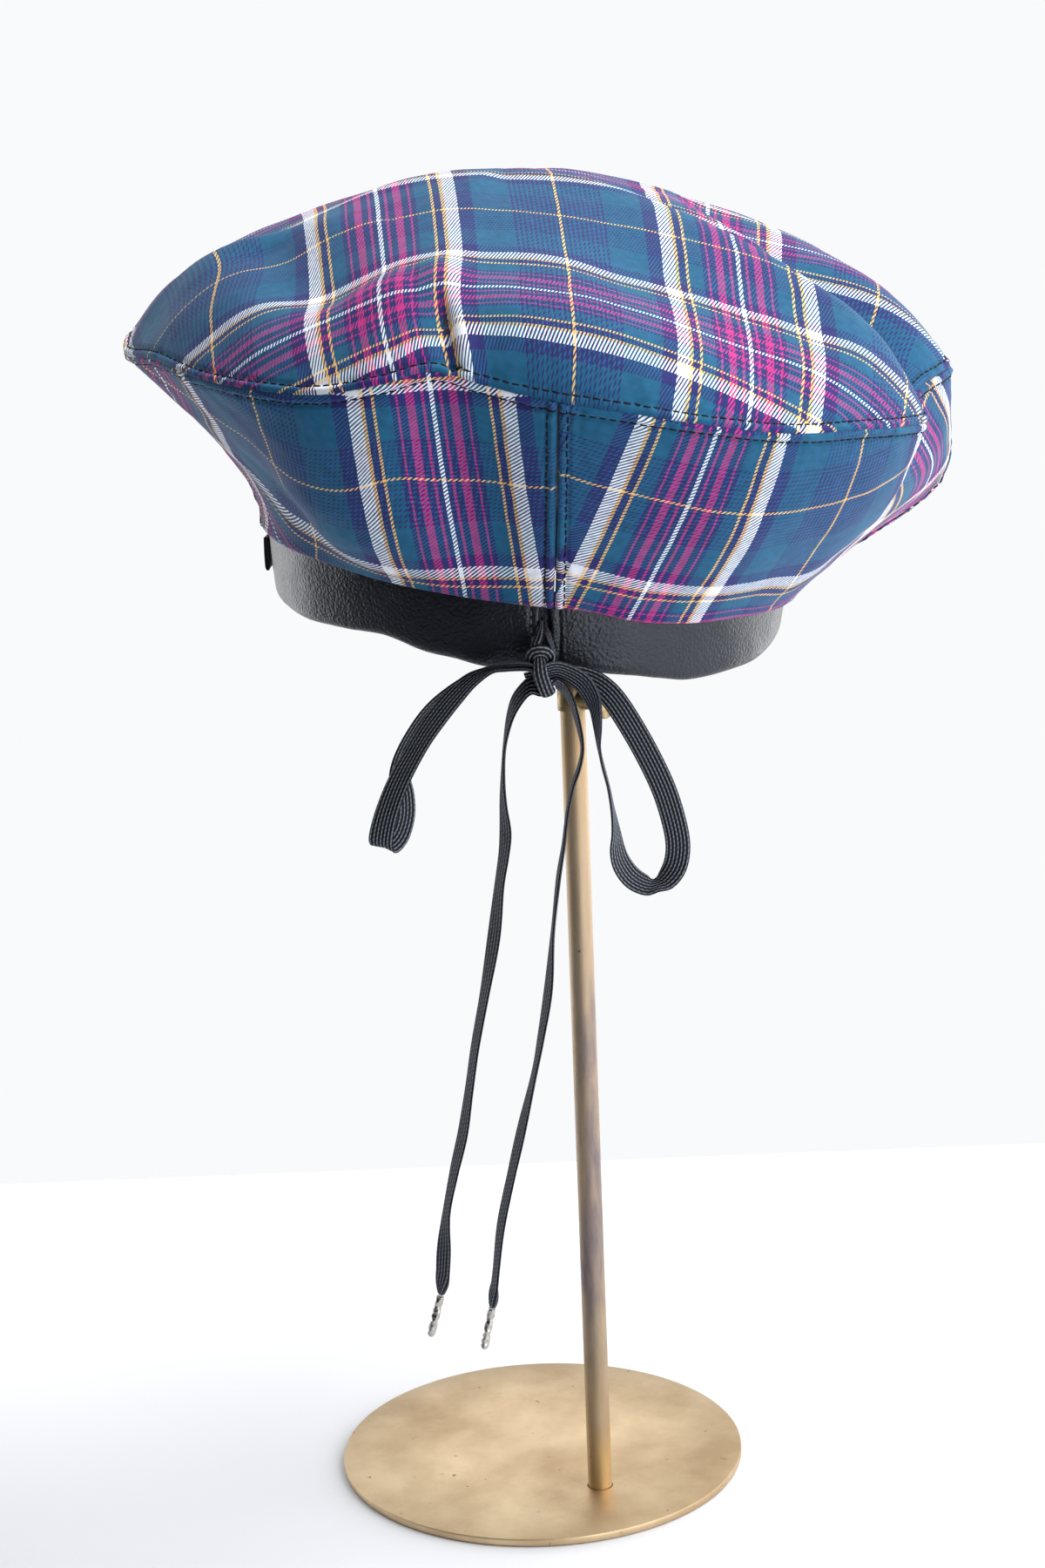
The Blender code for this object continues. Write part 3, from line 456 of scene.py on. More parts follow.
def capped_tube(name, grid, flat, map_name, materials, split=None):
    """A closed tube: samples by points round it. flat has one more column for the join.

    From row split on, the faces have the second material.
    """
    rows, columns = grid.shape[:2]
    index = np.arange(rows * columns).reshape(rows, columns)
    index = np.concatenate([index, index[:, :1]], axis=1)
    faces = np.stack(cells(index), -1).reshape(-1, 4).tolist()
    corners = list(np.stack(cells(flat), -2).reshape(-1, 2))
    points = list(grid.reshape(-1, 3))
    for line, place in ((index[0], flat[0]), (index[-1], flat[-1])):
        points.append(np.mean([points[k] for k in line[:-1]], axis=0))
        for j in range(columns):
            faces.append([int(line[j]), int(line[j + 1]), len(points) - 1])
            corners += [place[j], place[j + 1], place[j]]
    picks = np.zeros(len(faces), int)
    if split is not None:
        picks[split * columns:-2 * columns] = 1
        picks[-columns:] = 1
    return mesh_piece(name, points, faces, corners, map_name, materials, picks)


print("lace ribs:", LACE_RIBS)

# %% [markdown]
# ## The lace
#
# One flat lace, 8 mm wide, runs through the band and is tied at the back: two loops, two ends
# that hang free, and a knot. A lace this wide bends easily across its flat side and hardly at all
# across its edge, so it twists as it turns. A Blender curve with a bevel could follow the same
# path, but it can't be told which way its width faces. The routes are the solids' own: the middle
# of the lace, then the way that its width faces.

# %% Routes of the lace, in mm
ROUTE_COLUMNS = ("x", "y", "z", "width_x", "width_y", "width_z")
LOOP_LEFT = (
    (4.4, -137.2, 333.9, 0.00, -1.00, 0.00),
    (-1.6, -137.6, 334.1, 0.02, -1.00, -0.03),
    (-6.6, -138.4, 333.9, 0.12, -0.98, -0.10),
    (-12.6, -140.2, 331.3, 0.34, -0.85, -0.38),
    (-18.6, -141.6, 326.0, 0.50, -0.68, -0.52),
    (-23.8, -142.6, 320.2, 0.58, -0.62, -0.52),
    (-28.2, -143.3, 314.4, 0.62, -0.66, -0.42),
    (-32.2, -143.8, 308.2, 0.66, -0.66, -0.34),
    (-35.9, -144.2, 302.2, 0.76, -0.56, -0.32),
    (-39.0, -144.4, 296.0, 0.84, -0.48, -0.25),
    (-41.7, -144.5, 289.0, 0.92, -0.36, -0.15),
    (-43.4, -144.2, 282.8, 0.96, -0.20, -0.20),
    (-43.6, -142.8, 279.4, 0.96, -0.10, -0.25),
    (-41.6, -140.2, 278.6, 0.95, 0.05, -0.28),
    (-38.4, -138.0, 281.6, 0.94, 0.20, -0.10),
    (-36.4, -136.8, 287.4, 0.94, 0.30, 0.00),
    (-36.2, -136.4, 293.6, 0.92, 0.38, 0.05),
    (-37.0, -136.2, 300.0, 0.84, 0.52, 0.00),
    (-35.6, -136.1, 306.0, 0.72, 0.62, -0.28),
    (-31.6, -136.1, 313.4, 0.62, 0.66, -0.42),
    (-26.0, -136.2, 321.0, 0.52, 0.72, -0.46),
    (-19.4, -136.4, 327.0, 0.40, 0.80, -0.42),
    (-11.4, -136.8, 332.6, 0.20, 0.94, -0.26),
    (-4.2, -137.0, 335.3, 0.03, 1.00, -0.05),
    (4.4, -137.0, 335.6, 0.00, 1.00, 0.00),
)
LOOP_RIGHT = (
    (15.2, -133.6, 331.4, 0.10, -0.66, 0.74),
    (19.2, -133.9, 330.9, 0.24, -0.50, 0.83),
    (23.6, -134.6, 329.6, 0.38, -0.30, 0.87),
    (28.0, -135.8, 327.3, 0.54, -0.14, 0.83),
    (32.2, -137.0, 323.2, 0.72, -0.05, 0.68),
    (36.8, -138.2, 316.0, 0.86, 0.00, 0.50),
    (42.4, -139.2, 305.4, 0.90, -0.04, 0.42),
    (47.4, -139.9, 293.9, 0.94, -0.06, 0.30),
    (50.4, -140.2, 283.4, 0.97, -0.08, 0.18),
    (51.6, -140.5, 275.2, 0.99, -0.10, -0.02),
    (50.6, -140.8, 268.6, 0.90, -0.26, -0.34),
    (47.6, -141.1, 263.9, 0.56, -0.66, -0.50),
    (44.2, -141.4, 262.1, 0.16, -0.94, -0.30),
    (41.0, -141.6, 262.3, -0.14, -0.72, -0.66),
    (36.6, -141.8, 265.0, -0.46, -0.56, -0.66),
    (33.4, -142.1, 269.6, -0.66, -0.62, -0.42),
    (32.0, -142.4, 274.6, -0.62, -0.76, -0.10),
    (31.7, -142.8, 280.4, -0.36, -0.93, 0.02),
    (31.0, -143.0, 287.0, -0.14, -0.99, 0.00),
    (29.8, -143.2, 295.4, -0.03, -1.00, 0.00),
    (28.2, -143.4, 302.6, -0.03, -1.00, 0.00),
    (27.1, -143.5, 309.0, 0.06, -1.00, 0.00),
    (26.9, -143.5, 315.0, 0.28, -0.96, 0.02),
    (26.5, -143.2, 320.6, 0.46, -0.88, 0.10),
    (25.2, -142.6, 325.2, 0.60, -0.64, 0.46),
    (22.0, -141.4, 329.8, 0.50, -0.52, 0.70),
    (15.6, -139.6, 333.2, 0.20, -0.60, 0.76),
)
TAIL_LEFT = (
    (5.2, -137.4, 327.6, 0.30, -0.84, -0.44),
    (1.6, -137.2, 323.6, 0.32, -0.90, -0.28),
    (-1.0, -136.9, 317.4, 0.18, -0.97, -0.12),
    (-2.9, -136.4, 308.4, 0.03, -1.00, 0.00),
    (-3.8, -136.1, 298.2, 0.10, -1.00, 0.00),
    (-4.0, -135.9, 289.6, 0.26, -0.96, 0.00),
    (-3.7, -135.8, 280.6, 0.46, -0.88, 0.00),
    (-4.6, -135.7, 272.6, 0.40, -0.91, 0.00),
    (-6.4, -135.6, 262.6, 0.36, -0.93, 0.00),
    (-8.9, -135.4, 245.5, 0.50, -0.86, 0.00),
    (-12.8, -135.3, 226.0, 0.34, -0.94, 0.00),
    (-16.5, -135.3, 208.8, 0.30, -0.95, 0.00),
    (-19.0, -135.3, 194.6, 0.30, -0.95, 0.00),
    (-21.8, -135.4, 179.3, 0.38, -0.92, 0.00),
    (-25.3, -135.4, 165.8, 0.33, -0.94, 0.00),
    (-28.4, -135.5, 151.9, 0.28, -0.96, 0.00),
    (-30.0, -135.5, 138.0, 0.60, -0.80, 0.00),
    (-30.9, -135.5, 128.0, 0.55, -0.83, 0.00),
    (-31.6, -135.5, 123.0, 0.40, -0.92, 0.00),
)
TAIL_RIGHT = (
    (14.8, -136.6, 328.6, 0.30, -0.86, 0.42),
    (18.2, -136.8, 324.6, 0.26, -0.94, 0.24),
    (20.3, -136.7, 318.2, 0.20, -0.98, 0.06),
    (21.6, -136.6, 311.6, 0.12, -0.99, 0.00),
    (22.0, -136.4, 306.4, 0.02, -1.00, 0.00),
    (20.8, -136.3, 300.8, 0.02, -1.00, 0.00),
    (18.6, -136.1, 294.8, 0.02, -1.00, 0.00),
    (16.6, -136.0, 286.4, 0.02, -1.00, 0.00),
    (14.9, -135.9, 275.2, 0.03, -1.00, 0.00),
    (12.8, -135.8, 264.0, 0.08, -1.00, 0.00),
    (10.5, -135.6, 247.3, 0.04, -1.00, 0.00),
    (8.3, -135.5, 227.7, 0.28, -0.95, 0.00),
    (5.2, -135.4, 210.9, 0.20, -0.98, 0.00),
    (2.4, -135.4, 198.0, 0.12, -0.99, 0.00),
    (-2.4, -135.4, 179.5, 0.30, -0.95, 0.00),
    (-6.4, -135.4, 163.8, 0.28, -0.95, 0.00),
    (-10.6, -135.4, 146.0, 0.28, -0.95, 0.00),
    (-13.0, -135.4, 129.0, 0.22, -0.97, 0.00),
    (-14.6, -135.4, 117.6, 0.30, -0.95, 0.00),
)


def route_length(rows):
    """The length of a route's smooth curve, in mm."""
    return even_route(rows, 1.0)[1][-1]


for label, route in (("left loop", LOOP_LEFT), ("right loop", LOOP_RIGHT),
                     ("left end", TAIL_LEFT), ("right end", TAIL_RIGHT)):
    print(label, "is", round(route_length(route)), "mm long")

# %% [markdown]
# The two hanging ends are gathered into their metal tips, so each narrows and thickens over its
# last few millimetres. All four lengths go a little further than their solids, to where the knot
# hides them.

# %% Loops and hanging ends
GATHER_FROM = 0.965     # share of a hanging end where it starts to narrow
TAIL_RIBS = 5


def tipped(share):
    """Full width, gathered at the very end."""
    near = np.clip((share - GATHER_FROM) / (1 - GATHER_FROM), 0.0, 1.0)
    return 1.0 - 0.66 * near**1.8, 1.0 + 1.3 * np.sin(near * math.pi * 0.8)


def lace_piece(name, node, route, **choices):
    """Sweep a piece of the lace, and let it stand for its solid."""
    return dress(strip(name, route, lace_cloth, **choices), "charcoal_lace", node)


def declare_lace(route):
    """The length of a piece of lace in metres, worked out and not kept."""
    route_length(route) * MM


UNDER_KNOT = {
    "tail_left": (8.7, -136.8, 328.3, 0.42, -0.35, -0.84),
    "tail_right": (12.6, -136.6, 328.1, 0.10, -0.97, 0.22),
    "loop_left_from": (8.6, -137.2, 333.2, 0.00, -1.00, 0.00),
    "loop_left_back": (8.6, -136.9, 334.6, 0.00, 1.00, 0.00),
    "loop_right_from": (10.2, -134.8, 331.9, 0.10, -0.66, 0.74),
    "loop_right_back": (10.6, -138.6, 332.4, 0.20, -0.60, 0.76),
}
tail_left = lace_piece("hanging_lace_left", "lace_tail_left",
                       (UNDER_KNOT["tail_left"], *TAIL_LEFT), shape=tipped, lines=TAIL_RIBS)
tail_right = lace_piece("hanging_lace_right", "lace_tail_right",
                        (UNDER_KNOT["tail_right"], *TAIL_RIGHT), shape=tipped, lines=TAIL_RIBS)
loop_left = lace_piece("bow_loop_left", "lace_loop_left",
                       (UNDER_KNOT["loop_left_from"], *LOOP_LEFT, UNDER_KNOT["loop_left_back"]),
                       start=30.0)
loop_right = lace_piece("bow_loop_right", "lace_loop_right",
                        (UNDER_KNOT["loop_right_from"], *LOOP_RIGHT,
                         UNDER_KNOT["loop_right_back"]), start=55.0)

# %% [markdown]
# ## The metal tips
#
# Each end of the lace is wrapped in thin sheet metal, rolled round it and pinched. One tip
# is modelled upright at the origin: a tube with loops cut round it, two of them drawn in as
# the pinch. It is then copied, turned along each end of the lace, and its place is applied,
# which is less work than modelling each tip where it hangs.

# %% Crimped tips
def deselect():
    """Nothing selected and nothing in edit mode."""
    if bpy.context.object and bpy.context.object.mode != "OBJECT":
        bpy.ops.object.mode_set(mode="OBJECT")
    bpy.ops.object.select_all(action="DESELECT")


def pick_edges(piece, test):
    """Select, in edit mode, the edges whose two ends both pass a test on their place."""
    bpy.ops.object.mode_set(mode="EDIT")
    bpy.ops.mesh.select_all(action="DESELECT")
    bpy.ops.mesh.select_mode(type="EDGE")
    work = bmesh.from_edit_mesh(piece.data)
    for edge in work.edges:
        edge.select_set(all(test(v.co) for v in edge.verts))
    work.select_flush_mode()
    bmesh.update_edit_mesh(piece.data)


def put_down(piece, material, smooth_degrees=40):
    """Leave edit mode, apply the place, smooth the faces and give the finish."""
    deselect()
    piece.select_set(True)
    bpy.context.view_layer.objects.active = piece
    bpy.ops.object.transform_apply(location=True, rotation=True, scale=True)
    bpy.ops.object.mode_set(mode="EDIT")
    bpy.ops.mesh.select_all(action="SELECT")
    bpy.ops.mesh.normals_make_consistent(inside=False)
    bpy.ops.object.mode_set(mode="OBJECT")
    bpy.ops.object.shade_smooth_by_angle(angle=math.radians(smooth_degrees))
    piece.data.materials.clear()
    piece.data.materials.append(material)
    return piece


AGLET_RADIUS, AGLET_LENGTH = 1.4, 14.5
AGLET_LEFT = ((-31.8, -135.5, 122.3), (-35.8, -135.5, 108.0))
AGLET_RIGHT = ((-14.8, -135.4, 116.9), (-18.0, -135.4, 103.0))
TIP_CUTS = (-4.6, -3.9, -3.2, -2.5, 0.4, 1.6, 2.8, 4.4, 5.6, 6.5)
PINCH_COLUMNS = ("height", "reach", "wide", "deep")
TIP_PINCHES = (
    (-3.55, 0.5, 0.74, 0.82),
    (1.6, 0.3, 1.06, 0.72),
    (4.4, 0.3, 0.90, 1.04),
    (7.25, 0.05, 0.72, 0.60),
    (6.5, 0.1, 0.97, 0.90),
    (-7.25, 0.05, 0.90, 0.90),
)


def tin_plate():
    """Thin tinned steel: bright, with the fine dents and scratches of the pinching."""
    made, tree, shader = new_material("tinned_steel", Metallic=1.0, Roughness=0.3,
                                      Base_Color=linear("#b0ada6"))
    place = add(tree, "TexCoord").outputs["Object"]
    dents = add(tree, "TexVoronoi", {"Vector": place, "Scale": 0.5 / MM})
    bump = add(tree, "Bump", {"Strength": 0.9, "Distance": 0.0006, "Height": dents})
    tree.links.new(bump.outputs[0], shader.inputs["Normal"])
    wear = add(tree, "TexNoise", {"Vector": place, "Scale": 0.8 / MM})
    tree.links.new(add(tree, "MapRange", {0: wear, 3: 0.14, 4: 0.36}).outputs[0],
                   shader.inputs["Roughness"])
    return made


tinned = tin_plate()
deselect()
bpy.ops.mesh.primitive_cylinder_add(vertices=40, radius=AGLET_RADIUS * MM,
                                    depth=AGLET_LENGTH * MM)
tip = bpy.context.object
bpy.ops.object.mode_set(mode="EDIT")
for cut in TIP_CUTS:
    bpy.ops.mesh.select_all(action="SELECT")
    bpy.ops.mesh.bisect(plane_co=(0, 0, cut * MM), plane_no=(0, 0, 1))
for height, reach, wide, deep in TIP_PINCHES:
    pick_edges(tip, lambda p: abs(p.z / MM - height) < reach)
    bpy.ops.transform.resize(value=(wide, deep, 1.0))
bpy.ops.object.mode_set(mode="OBJECT")

for name, (near, far) in (("aglet_left", AGLET_LEFT), ("aglet_right", AGLET_RIGHT)):
    near, far = Vector(near) * MM, Vector(far) * MM
    copy = tip.copy()
    copy.data = tip.data.copy()
    copy.name = "metal_tip_" + name.split("_")[1]
    bpy.context.scene.collection.objects.link(copy)
    copy.matrix_world = (Matrix.Translation((near + far) / 2)
                         @ (far - near).to_track_quat("Z", "Y").to_matrix().to_4x4())
    put_down(copy, tinned)
    dress(copy, "silver_tip", name)
bpy.data.objects.remove(tip)

declare_lace(TAIL_LEFT)
declare_lace(TAIL_RIGHT)
declare_lace(LOOP_LEFT)
declare_lace(LOOP_RIGHT)

# %% [markdown]
# ## The knot
#
# Two strands leave the slot in the band: the left one spreads flat over the knot, and the
# right one goes down on its edge and round it. One turn of the knot arches over them and
# another lies in front of it, folded under itself, with a short stub beside it. Each is a
# strip of the same lace, bent tightly and padded by the turns that it hides, so it is swept
# thicker and rounder than the free lace.

# %% Strands and turns of the knot
KNOT_ARCH = (
    (6.4, -136.0, 335.6, -0.90, 0.40, 0.05),
    (6.7, -137.5, 337.8, -0.85, 0.20, 0.50),
    (7.8, -138.4, 339.3, -0.50, 0.00, 0.85),
    (9.7, -139.0, 339.7, 0.00, -0.10, 1.00),
    (11.6, -138.4, 339.1, 0.50, 0.00, 0.85),
    (12.6, -137.5, 337.5, 0.85, 0.20, 0.50),
    (12.7, -136.0, 335.0, 0.90, 0.40, 0.05),
)
KNOT_FRONT = (
    (9.3, -138.2, 337.0, 1.00, 0.00, 0.00),
    (9.4, -140.0, 334.9, 1.00, 0.00, 0.05),
    (9.6, -141.0, 332.4, 0.99, 0.00, 0.12),
    (10.4, -141.0, 329.4, 0.97, 0.00, 0.24),
    (11.3, -139.6, 326.6, 0.95, 0.00, 0.30),
    (11.8, -137.2, 326.0, 0.93, 0.00, 0.35),
    (11.2, -135.2, 327.8, 0.93, 0.00, 0.35),
)
KNOT_STUB = (
    (8.8, -136.0, 332.0, 0.10, -0.50, 0.86),
    (6.6, -136.2, 331.7, 0.10, -0.50, 0.86),
    (4.4, -136.0, 331.3, 0.10, -0.50, 0.86),
)
STRAND_LEFT = (
    (10.6, -127.2, 347.0, 0.95, -0.25, 0.10),
    (10.2, -130.0, 345.0, 0.95, -0.28, 0.10),
    (9.3, -133.5, 342.8, 0.95, -0.30, 0.15),
    (8.3, -136.3, 340.8, 0.95, -0.30, 0.20),
    (7.7, -137.0, 338.6, 0.95, -0.30, 0.20),
)
STRAND_RIGHT = (
    (11.5, -127.2, 346.0, 0.05, 0.20, 1.00),
    (12.5, -130.5, 342.8, 0.10, 0.85, 0.50),
    (13.5, -134.0, 339.6, 0.10, 0.97, 0.25),
    (13.8, -136.0, 337.3, 0.10, 0.99, 0.00),
    (12.9, -137.2, 335.3, 0.05, 0.99, 0.00),
    (11.2, -137.7, 333.8, 0.00, 0.99, -0.10),
)
ROUNDED_SHARE, SPREAD_SHARE = 0.28, 0.62


def rounded_in(share):
    """Narrower at both ends, where the lace goes under."""
    ends = np.clip(np.minimum(share, 1 - share) / ROUNDED_SHARE, 0.0, 1.0)
    return 0.66 + 0.34 * np.sin(ends * math.pi / 2), 0.8 + 0.2 * ends


def spread(share):
    """Gathered to a point in the slot and spread flat over the knot."""
    return 0.3 + 0.7 * np.clip(share / SPREAD_SHARE, 0.0, 1.0), np.ones(len(share))


TURN_COLUMNS = ("name", "route", "width", "thickness", "crown", "shape", "ribs")
KNOT_TURNS = (
    ("knot_front_turn", KNOT_FRONT, 5.2, 1.6, 0.7, rounded_in, 4),
    ("knot_upper_turn", KNOT_ARCH, 4.0, 1.6, 0.4, rounded_in, 3),
    ("knot_stub", KNOT_STUB, 2.2, 1.0, 0.2, None, 2),
    ("strand_from_slot_left", STRAND_LEFT, 3.6, 0.9, 0.5, spread, 3),
    ("strand_from_slot_right", STRAND_RIGHT, 4.6, 0.8, 0.0, spread, 4),
)
for name, route, width, thick, bow, shape, lines in KNOT_TURNS:
    lace_piece(name, "lace_knot", route, spacing=0.55, width=width, thick=thick, shape=shape,
               crown=bow, start=9.0 * width, lines=lines)

# %% [markdown]
# ## The form of the hat
#
# One row of the table stands for each section of the hat, seen from its upright axis: the
# seam's place, how the underside sags, where its hem and the band lie, and how steeply the
# crown falls. A smooth closed curve through each column gives the value at any turn. It is
# the same table as the solids have, with finer steps and the cloth's own small forms. A
# cloth simulation would drape such a hat too, but in folds of its own. These folds are the
# photograph's, so each is a row of a second table: a line in plan, how far the cloth is
# lifted or sunk at its two ends, and how wide the fold is on each side of the line.

# %% Sections of the hat
HAT_X, HAT_Y = 9.5, -36.0
CROWN_X, CROWN_Y, CROWN_TOP = 5.0, -33.0, 492.0
CLOTH, LEATHER, CASING, GAP = 1.2, 1.0, 1.9, 0.35
BAND_HEIGHT = 26.0
CENTRE_ROUND, EDGE_POWER = 0.12, 9.0                    # how round the middle and the rim are
WALL_POWER, WALL_TURN, WALL_REACH = 26.0, 2.0, 16.0     # the rim is sharper near this turn
SEAM_TURN, SLOT_TURN, SLOT_WIDTH = 3.2, 1.3, 2.8
SECTION_COLUMNS = ("turn", "rim_r", "rim_z", "belly_r", "belly_z", "pull", "hem_z",
                   "band_z", "top_r", "low_r", "slope", "edge")
SECTIONS = (
    (-180, 144.0, 425.5, 127.0, 392.0, 0.80, 361.0, 342.0, 92.5, 90.5, 1.55, 0.30),
    (-150, 141.5, 430.5, 124.0, 395.0, 0.80, 366.0, 345.5, 92.5, 90.5, 1.45, 0.30),
    (-120, 139.5, 436.0, 108.0, 396.0, 0.80, 370.5, 349.0, 92.5, 90.5, 1.40, 0.32),
    (-90, 139.0, 438.5, 95.0, 391.5, 0.82, 372.0, 350.5, 93.0, 91.0, 1.38, 0.34),
    (-76, 139.0, 434.5, 94.0, 390.0, 0.84, 371.5, 348.5, 93.0, 91.5, 1.45, 0.34),
    (-58, 141.0, 434.0, 99.0, 389.0, 0.86, 368.0, 344.5, 93.0, 91.0, 1.65, 0.32),
    (-45, 145.5, 429.0, 110.0, 391.0, 0.86, 364.5, 343.0, 92.5, 90.5, 1.55, 0.28),
    (-35, 148.0, 426.0, 125.0, 385.0, 0.82, 361.5, 342.0, 92.5, 90.5, 1.45, 0.25),
    (-25, 147.0, 424.5, 126.0, 384.0, 0.80, 358.5, 337.5, 92.5, 90.5, 1.38, 0.24),
    (-18, 144.5, 427.0, 121.0, 385.0, 0.80, 356.5, 335.5, 92.5, 90.5, 1.33, 0.23),
    (-12, 140.0, 430.0, 113.0, 387.0, 0.80, 355.0, 333.0, 92.5, 90.5, 1.20, 0.26),
    (-6, 138.5, 425.5, 112.0, 387.0, 0.80, 353.5, 332.0, 92.5, 90.5, 1.12, 0.30),
    (0, 140.0, 421.5, 118.0, 386.0, 0.80, 352.0, 331.0, 92.5, 90.5, 1.10, 0.31),
    (10, 143.0, 416.5, 122.0, 382.0, 0.80, 349.5, 329.5, 92.5, 90.5, 1.14, 0.28),
    (20, 145.0, 411.5, 125.0, 378.0, 0.80, 345.0, 327.5, 92.5, 90.5, 1.18, 0.26),
    (33, 146.5, 406.5, 131.0, 374.0, 0.84, 342.5, 323.5, 92.5, 90.5, 1.25, 0.23),
    (45, 147.5, 405.5, 132.0, 375.0, 0.92, 342.0, 324.5, 92.5, 90.5, 1.27, 0.24),
    (56, 148.0, 404.5, 134.0, 377.0, 1.00, 341.5, 326.0, 92.0, 90.0, 1.28, 0.25),
    (62, 146.5, 404.5, 134.0, 378.0, 1.02, 341.5, 328.0, 92.0, 89.5, 1.27, 0.25),
    (69, 134.5, 408.5, 134.0, 379.0, 1.04, 341.5, 330.5, 92.0, 88.5, 1.26, 0.26),
    (76, 138.0, 414.5, 138.0, 381.0, 1.07, 341.5, 332.5, 92.0, 87.0, 1.23, 0.28),
    (84, 146.0, 418.5, 143.0, 381.0, 1.10, 342.0, 333.0, 92.0, 86.0, 1.20, 0.28),
    (95, 146.5, 420.0, 151.0, 376.5, 1.15, 343.0, 333.0, 92.0, 86.5, 1.20, 0.32),
    (120, 147.0, 421.0, 146.0, 373.0, 1.10, 348.0, 335.0, 92.0, 87.5, 1.40, 0.45),
    (150, 146.0, 422.0, 136.0, 383.0, 0.95, 355.0, 338.5, 92.0, 89.0, 1.50, 0.38),
)
FOLD_COLUMNS = ("x0", "y0", "x1", "y1", "high0", "high1", "left", "right")
FOLDS = (
    (76.0, -26.0, 136.0, -84.0, -4.0, -17.0, 17.0, 9.0),     # deep fold behind the right lobe
    (62.0, -62.0, 134.0, -104.0, 1.0, 6.0, 8.0, 20.0),       # swell of the right lobe
    (-40.0, -72.0, -128.0, -52.0, -1.0, -7.0, 10.0, 14.0),   # valley behind the left lobe
    (-46.0, -92.0, -118.0, -72.0, 2.0, 4.0, 16.0, 9.0),      # swell of the left lobe
    (-22.0, -148.0, -70.0, -142.0, 6.0, 3.0, 12.0, 14.0),    # pillow left of the pinch
    (-15.0, -174.0, -26.0, -140.0, -7.0, -1.0, 5.0, 6.0),    # pinch at the seam
    (-72.0, -90.0, -54.0, -136.0, -8.5, -7.5, 15.0, 15.0),   # sunk cloth left of the pinch
    (104.0, -142.0, 118.0, -124.0, 5.0, 4.0, 14.0, 14.0),    # round of the right lobe
    (45.0, -120.0, 96.0, -112.0, -5.0, -5.0, 26.0, 26.0),    # broad hollow on the right
    (-38.0, -150.0, -46.0, -92.0, -1.5, -2.5, 15.0, 15.0),   # shallow hollow on the left
)
print("sections:", len(SECTIONS), "folds:", len(FOLDS))

# %% Curves through the sections
def curve(x, at, values):
    """A smooth curve through values at the places in at, read at x along the first axis."""
    slopes = np.gradient(values, at, axis=0)
    k = np.clip(np.searchsorted(at, x, side="right") - 1, 0, len(at) - 2)
    width = at[k + 1] - at[k]
    t = (x - at[k]) / width
    shape = t.shape + (1,) * (values.ndim - 1)
    t, width = t.reshape(shape), width.reshape(shape)
    return ((2 * t**3 - 3 * t**2 + 1) * values[k] + (t**3 - 2 * t**2 + t) * width * slopes[k]
            + (3 * t**2 - 2 * t**3) * values[k + 1] + (t**3 - t**2) * width * slopes[k + 1])


def section(column):
    """A smooth closed curve through one column of SECTIONS, as a function of the turn."""
    at = SECTION_COLUMNS.index(column)
    turns = np.array([row[0] for row in SECTIONS], float)
    values = np.array([row[at] for row in SECTIONS], float)
    turns = np.concatenate([turns[-2:] - 360.0, turns, turns[:2] + 360.0])
    values = np.concatenate([values[-2:], values, values[:2]])
    return lambda turn: curve((np.asarray(turn, float) + 180.0) % 360.0 - 180.0, turns, values)


SECTION = {column: section(column) for column in SECTION_COLUMNS[1:]}
print("the seam at the back is", round(float(SECTION["rim_z"](0.0)), 1), "mm up")


# %% Crown, underside and band as surfaces
def around(turn, radius, height):
    """Points about the hat's upright axis; turn 0 is the back."""
    angle = np.radians(turn)
    return np.stack([HAT_X + radius * np.sin(angle), HAT_Y - radius * np.cos(angle),
                     height + 0 * angle], axis=-1)


def fold_height(x, y):
    """How far folds lift or sink the crown at a place in plan."""
    total = 0 * x
    for x0, y0, x1, y1, high0, high1, left, right in FOLDS:
        length = math.hypot(x1 - x0, y1 - y0)
        ux, uy = (x1 - x0) / length, (y1 - y0) / length
        along = ((x - x0) * ux + (y - y0) * uy) / length
        beside = -(x - x0) * uy + (y - y0) * ux
        inside = np.clip(along, 0.0, 1.0)
        beyond = (along - inside) * length
        width = np.where(beside > 0, left, right)
        total = total + (high0 + (high1 - high0) * inside) * np.exp(
            -(beside / width) ** 2 - (beyond / (0.8 * width)) ** 2)
    return total


def crown(turn, share):
    """The crown's outer face: share 0 is its middle, 1 the seam at the rim."""
    turn, share = np.broadcast_arrays(np.asarray(turn, float), np.asarray(share, float))
    rim = around(turn, SECTION["rim_r"](turn), SECTION["rim_z"](turn))
    rounded = (np.sqrt(share**2 + CENTRE_ROUND**2) - CENTRE_ROUND) / (
        math.sqrt(1 + CENTRE_ROUND**2) - CENTRE_ROUND)
    edge = SECTION["edge"](turn)
    off_wall = (turn - 360.0 * np.round(turn / 360.0) - WALL_TURN) / WALL_REACH
    power = EDGE_POWER + (WALL_POWER - EDGE_POWER) * np.exp(-off_wall**2)
    fall = (1 - edge) * rounded ** SECTION["slope"](turn) + edge * share**power
    x = CROWN_X + (rim[..., 0] - CROWN_X) * share
    y = CROWN_Y + (rim[..., 1] - CROWN_Y) * share
    z = CROWN_TOP + (rim[..., 2] - CROWN_TOP) * fall + fold_height(x, y) * (1 - share**16)
    return np.stack([x, y, z], axis=-1)


def band_radius(turn, height):
    """The leather band's outer radius: it widens a little upwards."""
    share = np.clip((height - SECTION["band_z"](turn)) / BAND_HEIGHT, 0.0, 1.0)
    low = SECTION["low_r"](turn)
    return low + (SECTION["top_r"](turn) - low) * share


